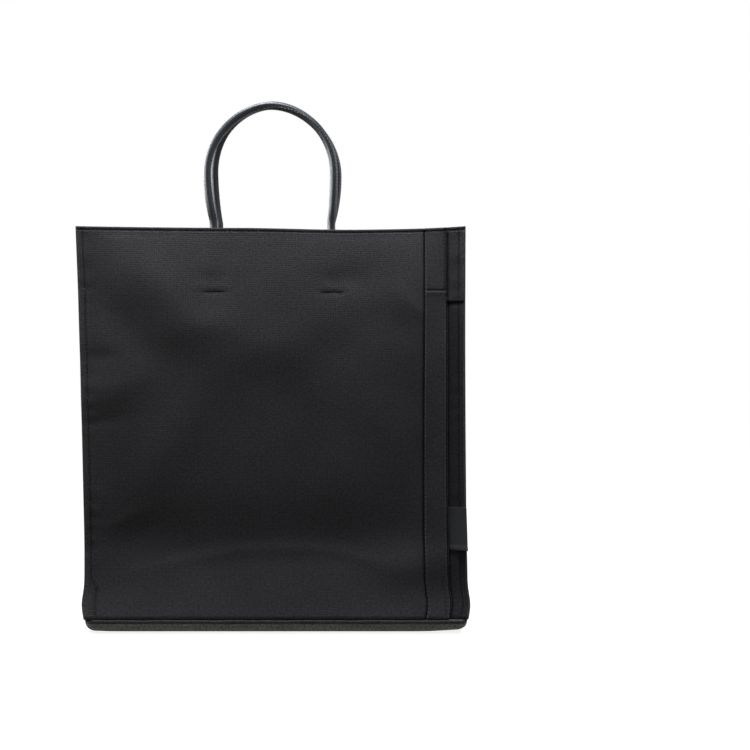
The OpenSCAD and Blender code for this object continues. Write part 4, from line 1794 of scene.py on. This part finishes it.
@dataclass
class Handle:
    """One rolled leather handle: flat sewn ends, round legs and an arch, all in one length."""

    shape: BagShape
    side: Side
    offset: float = 0.0  # how far the legs stand to the right, and half as much at the top
    sway: float = 0.0  # how much further the middle hangs to the right
    droop: float = 0.0  # how far its top lies below its full height
    radius: float = 4.5
    girth_r: float = 4.2  # of the leather as it wears, a little under its full roundness
    bow: float = 4.7  # how far the legs bow away from the other handle
    wall_t: float = 1.4
    spacing: float = 120.0
    span: float = 132.0
    rise: float = 139.0
    arch_h: float = 72.0
    bend_h: float = 8.0
    end_w: float = 14.0
    end_t: float = 3.0
    tack_drop: float = 66.0
    touch_gap: float = 0.4
    stitch_gap: float = 0.15
    sides: int = 28

    @property
    def name(self) -> str:
        """Plain name of the handle, which is also its body's."""
        return "front_handle" if self.side is Side.FRONT else "rear_handle"

    @property
    def inside(self) -> float:
        """Depth of the cloth between the handle's ends and the wall's face."""
        s = self.shape
        layers = s.front_layers if self.side is Side.FRONT else s.canvas_t
        return layers + s.facing_t + s.layer_gap + self.stitch_gap

    @property
    def bend_y(self) -> float:
        """Distance of the bend from the middle plane."""
        s = self.shape
        return s.wall_y(60 / s.ridge_x(s.height), s.height) - self.inside - self.radius

    def loop(self) -> list[Ring]:
        """Give the sections of the loop from its left bend to its right one."""
        s = self.shape
        bend_z = s.height + self.bend_h
        up = s.height + self.rise - self.droop - self.radius - bend_z
        over = self.bend_y - self.radius - self.touch_gap / 2
        reach = math.hypot(up, over)
        spring, half, foot = reach - self.arch_h, self.span / 2, self.spacing / 2
        line = [
            (-mix(half, foot, (1 - t) ** 2), spring * t) for t in [i / 16 for i in range(17)]
        ]
        line += [
            (
                -half * math.copysign(abs(math.cos(a)) ** 1.08, math.cos(a)),
                spring + self.arch_h * math.sin(a),
            )
            for a in [math.pi * i / 64 for i in range(1, 64)]
        ]
        line += [(-x, v) for x, v in reversed(line[:17])]
        along = Vector((0, -self.side.value * over, up)).normalized()
        out = Vector((1, 0, 0)).cross(along).normalized()
        rings = []
        last = len(line) - 1
        for i, (x, v) in enumerate(line):
            a, b = line[max(0, i - 1)], line[min(last, i + 1)]
            size = math.hypot(b[0] - a[0], b[1] - a[1])
            tx, tv = (b[0] - a[0]) / size, (b[1] - a[1]) / size
            share = v / reach
            swing = self.sway * math.sin(math.pi * min(1, share * 1.25))
            swing += self.offset * (1 - share / 2)
            bowed = self.bow * math.sin(math.pi * max(0.0, share) ** 0.7)
            y = self.side.value * (self.bend_y + bowed)
            middle = Vector((x + swing + s.lean_x(s.height), y, bend_z)) + along * v
            side = Vector((1, 0, 0)) * tv - along * tx
            rings.append(Ring(middle, side, out, self.girth_r, self.girth_r))
        return rings

    def end(self, hand: Hand) -> list[Ring]:
        """Give the sections of a fixed end, from its tip up to the hem.

        Args:
            hand: Which leg.

        Returns:
            The sections.
        """
        s = self.shape
        x = hand.value * self.spacing / 2
        low, flat, round_z = (s.height - d for d in (self.tack_drop + 5, 40, 14))
        rings = []
        for z in spread([low, low + 1.2, flat, round_z, s.height], 4.0):
            t = smooth((z - flat) / (round_z - flat))
            tip = smooth((z - low) / 1.2) * 0.3 + 0.7
            half_x = mix(self.end_w / 2, self.girth_r, t) * tip
            half_y = mix(self.end_t / 2, self.radius, t)
            back = s.wall_y(x / s.ridge_x(s.height), z) + s.relief(self.side, x, z) - self.inside
            shift = self.offset * smooth((z - flat) / 30) + s.lean_x(z)
            middle = Vector((x + shift, self.side.value * (back - half_y), z))
            thick = half_y - (self.radius - self.girth_r) * t
            rings.append(
                Ring(middle, Vector((-hand.value, 0, 0)), Vector((0, -1, 0)), half_x, thick)
            )
        return rings

    @staticmethod
    def swell(off: float) -> float:
        """Raised seam of the rolled leather, at an angle away from its middle."""
        off = (off + 180) % 360 - 180
        return 0.55 * math.exp(-((off / 9) ** 2)) - 0.28 * math.exp(-(((abs(off) - 21) / 8) ** 2))

    @staticmethod
    def seam_turn(share: float) -> float:
        """Angle of the seam round the tube at a share of its length, as the leather twists."""
        return mix(34.0, 118.0, smooth((share - 0.35) / 0.5))

    def build(
        self,
        leather: bpy.types.Material,
        core: bpy.types.Material,
        thread: bpy.types.Material,
        stitches: StitchMaker,
    ) -> None:
        """Make and dress the handle.

        Args:
            leather: Handle leather.
            core: Cord inside the handle.
            thread: Seam thread.
            stitches: Maker of the seam.
        """
        loop = self.loop()
        left = self.end(Hand.LEFT)
        rings = left + loop + self.end(Hand.RIGHT)[::-1]
        last = len(loop) - 1

        def swell(turn: float, ring: int) -> float:
            """Raise the seam where it lies on a section."""
            share = min(1.0, max(0.0, (ring - len(left)) / last))
            return self.swell(turn - self.seam_turn(share))

        tube = make_rod(self.name + "_leather", rings, self.sides, swell)
        finish_piece(tube, leather)
        seam = []
        for i, ring in enumerate(loop[1:-1], 1):
            turn = math.radians(self.seam_turn(i / last))
            reach = ring.side * math.cos(turn) + ring.out * math.sin(turn)
            seam.append((ring.middle + reach * (self.girth_r + 0.5), reach))
        sewn = stitches.sew(self.name + "_stitches", [seam], 3.6, 2.8, 0.7, 0.05)
        finish_piece(sewn, thread)
        bend = Vector((0, self.side.value * self.bend_y, self.shape.height + self.bend_h)) * MM
        for piece in (tube, sewn):
            self.name
            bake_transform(piece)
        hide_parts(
            self.name + "_loop", self.name + "_end_left", self.name + "_end_right"
        )
        inner = self.girth_r - self.wall_t
        filling = make_rod(
            self.name + "_core_cord",
            [Ring(r.middle, r.side, r.out, inner, inner) for r in loop],
            16,
        )
        finish_piece(filling, core)
        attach(filling, self.name)
        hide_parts(self.name + "_core")


@dataclass
class Label:
    """The small blank label sewn into the pocket's free edge."""

    shape: BagShape
    width: float = 18.0
    height: float = 41.0
    thick: float = 0.8
    middle_z: float = 100.0
    stand_top: float = 3.2
    stand_foot: float = 6.6
    hem_h: float = 3.2

    def build(self, leather: bpy.types.Material) -> None:
        """Make and dress the label, which bends where it is sewn in.

        Args:
            leather: Label leather.
        """
        s = self.shape
        low = self.middle_z - self.height / 2
        start = box_mm("label_seam")[0].x
        hem = (self.hem_h - 0.3, self.hem_h + 0.3)
        tall = spread([0, 0.4, 1.2, *hem, self.height - 0.5, self.height], 2.0)
        wide = spread([0, 0.5, 2, self.width - 0.5, self.width], 1.2)

        def grid(back: float) -> Grid:
            """Give the rows of points at a distance behind the label's face."""
            rows = []
            for v in tall:
                z = low + v
                row = []
                for w in wide:
                    t = w / self.width
                    off = mix(self.stand_foot, self.stand_top, v / self.height) * t**1.25
                    off += 0.35 * math.sin(math.pi * t) * math.sin(2.4 * v / self.height + 0.6)
                    doubled = 0.45 * (1 - smooth((v - self.hem_h) / 0.6))
                    x = start + w * math.cos(math.atan2(off, self.width))
                    face = s.wall_y(x / s.ridge_x(z), z) - s.canvas_t - s.pocket_gap
                    at = face + off + self.thick + doubled - back * (1 + doubled)
                    row.append(Vector((x + s.lean_x(z), -at, z)))
                rows.append(row)
            return rows

        label = make_sheet("label_leather", grid(0.0), grid(self.thick), lambda p: 0.0)
        finish_piece(label, leather)
        y = -s.wall_y(start / s.ridge_x(self.middle_z), self.middle_z) * MM
        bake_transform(label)
        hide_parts("label", "label_seam")


@dataclass
class Seams:
    """Every row of sewing thread on the bag, and the bar tacks that hold the handles."""

    shape: BagShape
    stitches: StitchMaker
    tack_w: float = 19.0

    def build(
        self,
        thread: bpy.types.Material,
        tack: bpy.types.Material,
        gussets: Sequence[Gusset],
        lift: Callable[[float, float], float],
    ) -> None:
        """Sew the bag.

        Args:
            thread: Seam thread.
            tack: Bar tack thread.
            gussets: The two gussets.
            lift: Outward bow of the pocket.
        """
        s = self.shape
        foot, top = s.wall_foot, s.height

        def pocket(across: Line, low: float, high: float) -> list[tuple[Vector, Vector]]:
            """Follow a seam up the pocket, which bows outwards."""
            return [
                (p + n * lift(across(z), z), n)
                for (p, n), z in zip(
                    seam_line(s, Side.FRONT, across, low, high), spread([low, high], SEAM_STEP)
                )
            ]

        rows = {}
        for side in Side:
            for hand in Hand:
                swings = side is Side.FRONT and hand is Hand.LEFT
                recessed = side is Side.FRONT and hand is Hand.RIGHT

                def across(z: float, h: int = hand.value, w: bool = swings) -> float:
                    """Give the ridge seam's distance across."""
                    return h * (s.ridge_x(z) - ridge_seam(s, z, w))

                name = f"{side.name.lower()}_{hand.name.lower()}_ridge_stitches"
                patch = top - s.patch_h
                if recessed:
                    back = Vector((0, side.value * (s.front_layers - s.canvas_t), 0))
                    low = seam_line(s, side, across, foot + 1, patch)
                    low = [(p - back, n) for p, n in low]
                    rows[name] = [low, seam_line(s, side, across, patch, top - 3)]
                else:
                    rows[name] = [seam_line(s, side, across, foot + 1, top - 3)]
            half = s.ridge_x(top - HEM_SEAM) - 2
            rows[f"{side.name.lower()}_hem_stitches"] = [
                [
                    (s.face(side, x, top - HEM_SEAM), s.outward(side, x, top - HEM_SEAM))
                    for x in spread([-half, half], SEAM_STEP)
                ]
            ]
        rows["pocket_seam_stitches"] = [pocket(lambda z: s.pocket_seam(z) + 1.6, foot + 1, top - 5)]
        turn_z = top - STRIP_DROP
        down = pocket(lambda z: s.pocket_edge(z) - STRIP_IN, turn_z, top - 5)
        level = []
        ends = [s.pocket_seam(turn_z) + 1.6, s.pocket_edge(turn_z) - STRIP_IN]
        for x in spread(ends, 4.0):
            out = s.outward(Side.FRONT, x, turn_z)
            level.append((s.face(Side.FRONT, x, turn_z) + out * lift(x, turn_z), out))
        rows["pocket_strip_stitches"] = [down, level]
        rows["pocket_foot_stitches"] = [
            pocket(lambda z, w=w: s.pocket_edge(z) - w, foot + 1, 52) for w in (1.6, 5.2)
        ]
        rows["pocket_edge_stitches"] = [
            pocket(lambda z: s.pocket_edge(z) - 2.0, 52, top - s.patch_h)
        ]
        for g in gussets:
            rows[g.name + "_fin_stitches"] = [g.fin_seam(-1), g.fin_seam(1)]
            rows[g.name + "_hem_stitches"] = [g.hem_seam()]
        for name, seams in rows.items():
            sewn = self.stitches.sew(name, seams)
            finish_piece(sewn, thread)
            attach(sewn, "bag")
        self.tacks(tack)

    def tacks(self, tack: bpy.types.Material) -> None:
        """Make the bar tacks: close threads across two laid ones.

        Args:
            tack: Bar tack thread.
        """
        s = self.shape
        z = s.height - TACK_DROP
        bars, cross = [], []
        for side in Side:
            for hand in Hand:
                middle = hand.value * TACK_X + TACK_SHIFT
                xs = spread([middle - self.tack_w / 2, middle + self.tack_w / 2], 2.0)
                line = [(s.face(side, x, z), s.outward(side, x, z)) for x in xs]
                bars.append(line)
                for off in (-0.4, 0.4):
                    cross.append([(p + Vector((0, 0, off)), n) for p, n in line])
        wraps = self.stitches.sew("bar_tack_wraps", bars, 0.7, 1.5, 0.66, 0.12, across=True)
        laid = self.stitches.sew("bar_tack_laid_threads", cross, 6.3, 6.6, 0.5, 0.2)
        for piece in (wraps, laid):
            finish_piece(piece, tack)
            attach(piece, "bag")
        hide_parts("bar_tacks")


@dataclass
class Studio:
    """White floor and surroundings, soft lamps and the camera."""

    shape: BagShape
    camera_y: float = -0.944
    camera_z: float = 0.252
    lens: float = 42.9
    shift_x: float = 0.132
    shift_y: float = 0.0

    def build(self) -> None:
        """Make the studio."""
        self.floor()
        self.world()
        place, aim = (-0.02, -0.01, 1.2), (-0.01, 0.0, 0.0)
        self.lamp("top_lamp", place, aim, (0.8, 0.42), 32.0, gloss=False)
        place, aim = (-0.10, -0.12, 1.5), (0.0, 0.0, 0.5)
        self.lamp("top_sheen", place, aim, (0.8, 0.3), 38.0, matt=False)
        for hand in Hand:
            x, name = hand.value, hand.name.lower()
            sheen = 56.0 if hand is Hand.LEFT else 2.5
            place, aim = (x, 0.0, 1.25), (0.15 * x, 0.0, 0.15)
            self.lamp(f"{name}_lamp", place, aim, (0.5, 0.4), 14.0, gloss=False)
            for side in Side:
                self.lamp(
                    f"{side.name.lower()}_{name}_sheen",
                    (1.1 * x, 0.5 * side.value, 0.95),
                    (0.0, 0.0, 0.5),
                    (0.9, 0.9),
                    sheen,
                    matt=False,
                )
        data = bpy.data.cameras.new("camera")
        data.lens = self.lens
        data.sensor_width = 36.0
        data.shift_x, data.shift_y = self.shift_x, self.shift_y
        camera = bpy.data.objects.new("camera", data)
        camera.location = (0.0, self.camera_y, self.camera_z)
        camera.rotation_euler = (math.radians(90), 0, 0)
        bpy.context.scene.collection.objects.link(camera)
        bpy.context.scene.camera = camera
        bpy.context.scene.view_settings.view_transform = "Standard"

    @staticmethod
    def lamp(
        name: str,
        place: tuple[float, float, float],
        aim: tuple[float, float, float],
        size: tuple[float, float],
        power: float,
        matt: bool = True,
        gloss: bool = True,
    ) -> None:
        """Hang one soft lamp.

        Args:
            name: Name of the lamp.
            place: Where it hangs, in metres.
            aim: Where it points.
            size: Its width and height.
            power: Its power in watts.
            matt: Whether it lights matt surfaces.
            gloss: Whether gloss shows it.
        """
        data = bpy.data.lights.new(name, "AREA")
        data.shape = "RECTANGLE"
        data.size, data.size_y = size
        data.energy = power
        lamp = bpy.data.objects.new(name, data)
        lamp.location = place
        lamp.rotation_euler = (Vector(aim) - Vector(place)).to_track_quat("-Z", "Y").to_euler()
        lamp.visible_camera = False
        lamp.visible_diffuse = matt
        lamp.visible_glossy = gloss
        bpy.context.scene.collection.objects.link(lamp)

    @staticmethod
    def seen(tree: bpy.types.NodeTree) -> bpy.types.NodeSocket:
        """Tell the rays that show the white surroundings: seen, mirrored or let through.

        Args:
            tree: Node tree to add to.

        Returns:
            Socket that is 1 for those rays and 0 for light.
        """
        rays = add_node(tree, "ShaderNodeLightPath").outputs
        seen = rays["Is Camera Ray"]
        for kind in ("Is Glossy Ray", "Is Transmission Ray"):
            seen = add_node(tree, MATH, {0: seen, 1: rays[kind]}, operation="MAXIMUM").outputs[0]
        return seen

    @staticmethod
    def floor() -> None:
        """Lay the white floor, which keeps the bag's shadow."""
        bpy.ops.object.select_all(action="DESELECT")
        bpy.ops.mesh.primitive_grid_add(x_subdivisions=8, y_subdivisions=8, size=1)
        floor = bpy.context.object
        floor.name = "floor"
        for v in floor.data.vertices:
            v.co = Vector((v.co.x * 24, v.co.y * 24, -0.0004))
        material, tree = new_material("floor_white_paper")
        place = add_node(tree, "ShaderNodeTexCoord").outputs["Object"]
        past = place
        none = (0, 0, 0)
        steps = (("ABSOLUTE", none), ("SUBTRACT", (0.19, 0.076, 0)), ("MAXIMUM", none))
        for operation, by in steps:
            past = add_node(tree, VECTOR_MATH, {0: past, 1: by}, operation=operation).outputs[0]
        near = add_node(tree, VECTOR_MATH, {0: past}, operation="LENGTH").outputs["Value"]
        far = add_node(tree, RANGE, {0: near, 1: 0.02, 2: 0.10, 3: 0.0, 4: 1.0}).outputs[0]
        shade = {0: far, 6: linear("#949494"), 7: linear("#303030")}
        shade = add_node(tree, MIX, shade, data_type="RGBA").outputs[2]
        paper = {"Color": shade, "Roughness": 0.5}
        paper = add_node(tree, "ShaderNodeBsdfDiffuse", paper).outputs[0]
        level = add_node(tree, RANGE, {0: far, 1: 0.0, 2: 1.0, 3: 0.86, 4: 1.0}).outputs[0]
        level = {0: Studio.seen(tree), 1: level}
        level = add_node(tree, MATH, level, operation="MULTIPLY").outputs[0]
        glow = {"Color": linear("#ffffff"), "Strength": level}
        glow = add_node(tree, "ShaderNodeEmission", glow).outputs[0]
        both = add_node(tree, "ShaderNodeAddShader", {0: paper, 1: glow}).outputs[0]
        add_node(tree, "ShaderNodeOutputMaterial", {"Surface": both})
        floor.data.materials.append(material)

    @staticmethod
    def world() -> None:
        """Set the surroundings: white where seen or mirrored, dim as light."""
        world = bpy.data.worlds.new("studio")
        world.use_nodes = True
        tree = world.node_tree
        tree.nodes.clear()
        strength = {0: Studio.seen(tree), 1: 0.0, 2: 1.0, 3: 0.03, 4: 1.0}
        strength = add_node(tree, RANGE, strength).outputs[0]
        sky = {"Color": linear("#ffffff"), "Strength": strength}
        sky = add_node(tree, "ShaderNodeBackground", sky).outputs[0]
        add_node(tree, "ShaderNodeOutputWorld", {"Surface": sky})
        bpy.context.scene.world = world


FRONT_FOLDS = (
    Fold(-152, 304, -47, 55, 20, -2.5),
    Fold(-116, 342, -47, 60, 22, 2.4),
    Fold(-70, 302, 10, 46, 20, 1.9),
    Fold(0, 280, 0, 60, 28, 2.3),
    Fold(80, 352, 15, 34, 18, -1.4),
    Fold(60, 280, 20, 28, 24, -1.8),
    Fold(124, 300, -20, 46, 20, -0.8),
    Fold(-59, 337.5, 0, 11, 3.2, -0.8),
    Fold(62, 337.5, 0, 11, 3.2, -0.8),
    Fold(-72, 346, 62, 13, 3.2, 0.7),
    Fold(-62, 350, 8, 15, 9, -1.0),
    Fold(64, 350, -8, 15, 9, -1.0),
    Fold(-48, 347, 104, 11, 3.0, 0.6),
    Fold(55, 346, 96, 11, 3.0, 0.7),
    Fold(74, 345, 120, 12, 3.2, 0.7),
    Fold(-165, 236, 20, 36, 16, 1.4),
    Fold(-96, 196, 58, 80, 24, 2.1),
    Fold(110, 205, 112, 80, 26, 1.4),
    Fold(-30, 160, 82, 70, 30, 0.8),
    Fold(146, 150, 70, 50, 20, -1.2),
    Fold(-150, 84, 0, 70, 36, -2.2),
    Fold(112, 90, 0, 60, 34, -1.2),
    Fold(128, 62, 0, 50, 22, 4.4),
    Fold(-130, 60, 0, 55, 20, 2.0),
    Fold(10, 80, 0, 55, 5, 0.32),
    Fold(88, 70, -12, 40, 5, 0.3),
    Fold(-72, 71, 12, 40, 5, 0.3),
    Fold(-152, 108, 28, 28, 6, 0.6),
    Fold(-132, 96, 34, 22, 5, -0.4),
    Fold(-177, 270, 5, 18, 8, -0.9),
    Fold(-168, 206, 12, 20, 7, -0.6),
    Fold(142, 324, -48, 22, 6, 0.6),
    Fold(128, 306, -60, 20, 6, -0.5),
    Fold(116, 292, 84, 26, 7, 0.5),
    Fold(-34, 362, 70, 16, 5, 0.4),
    Fold(92, 366, 100, 16, 5, 0.4),
)
BACK_FOLDS = (
    Fold(120, 330, 132, 66, 22, 2.4),
    Fold(148, 296, 132, 50, 20, -2.0),
    Fold(-112, 330, 42, 60, 22, 2.0),
    Fold(-150, 300, 42, 50, 18, -1.8),
    Fold(-10, 320, 90, 66, 36, 1.3),
    Fold(-59, 337.5, 0, 11, 3.2, -0.8),
    Fold(62, 337.5, 0, 11, 3.2, -0.8),
    Fold(-48, 346, 75, 12, 3.0, 0.7),
    Fold(70, 346, 110, 12, 3.0, 0.7),
    Fold(60, 286, -16, 40, 22, 1.6),
    Fold(96, 190, 64, 80, 26, 1.6),
    Fold(-104, 190, 116, 76, 24, 1.4),
    Fold(20, 170, 86, 70, 30, 0.8),
)


def main() -> None:
    """Build the bag piece by piece, then the studio."""
    logging.basicConfig(level=logging.INFO, format="%(name)s: %(message)s")
    shape = BagShape.from_frame({Side.FRONT: FRONT_FOLDS, Side.BACK: BACK_FOLDS})
    canvas, inner, tape = CANVAS.build(), SHADED_INNER_CANVAS.build(), FACING_TAPE.build()
    leather, core = HANDLE_LEATHER.build(), CORE_CORD.build()
    thread, tack = SEWING_THREAD.build(), TACK_THREAD.build()
    stitches = StitchMaker()

    body = ClothBody(shape)
    body.build(canvas, inner, tape)
    gussets = [Gusset(shape, hand) for hand in Hand]
    for gusset in gussets:
        gusset.build(canvas, tape, body)
    Ridges(shape).build(canvas, body)
    Base(shape).build(BASE_CLOTH.build(), PIPING_CLOTH.build(), BASE_BOARD.build())
    front = Handle(shape, Side.FRONT, spacing=123.0, offset=1.8, sway=-1.6, droop=4.6)
    front.build(leather, core, thread, stitches)
    rear = Handle(shape, Side.BACK, spacing=119.5, offset=4.8, sway=1.9, droop=1.5)
    rear.build(leather, core, thread, stitches)
    Label(shape).build(LABEL_LEATHER.build())
    Seams(shape, stitches).build(thread, tack, gussets, body.pocket_lift)
    Studio(shape).build()


if __name__ == "__main__":
    main()
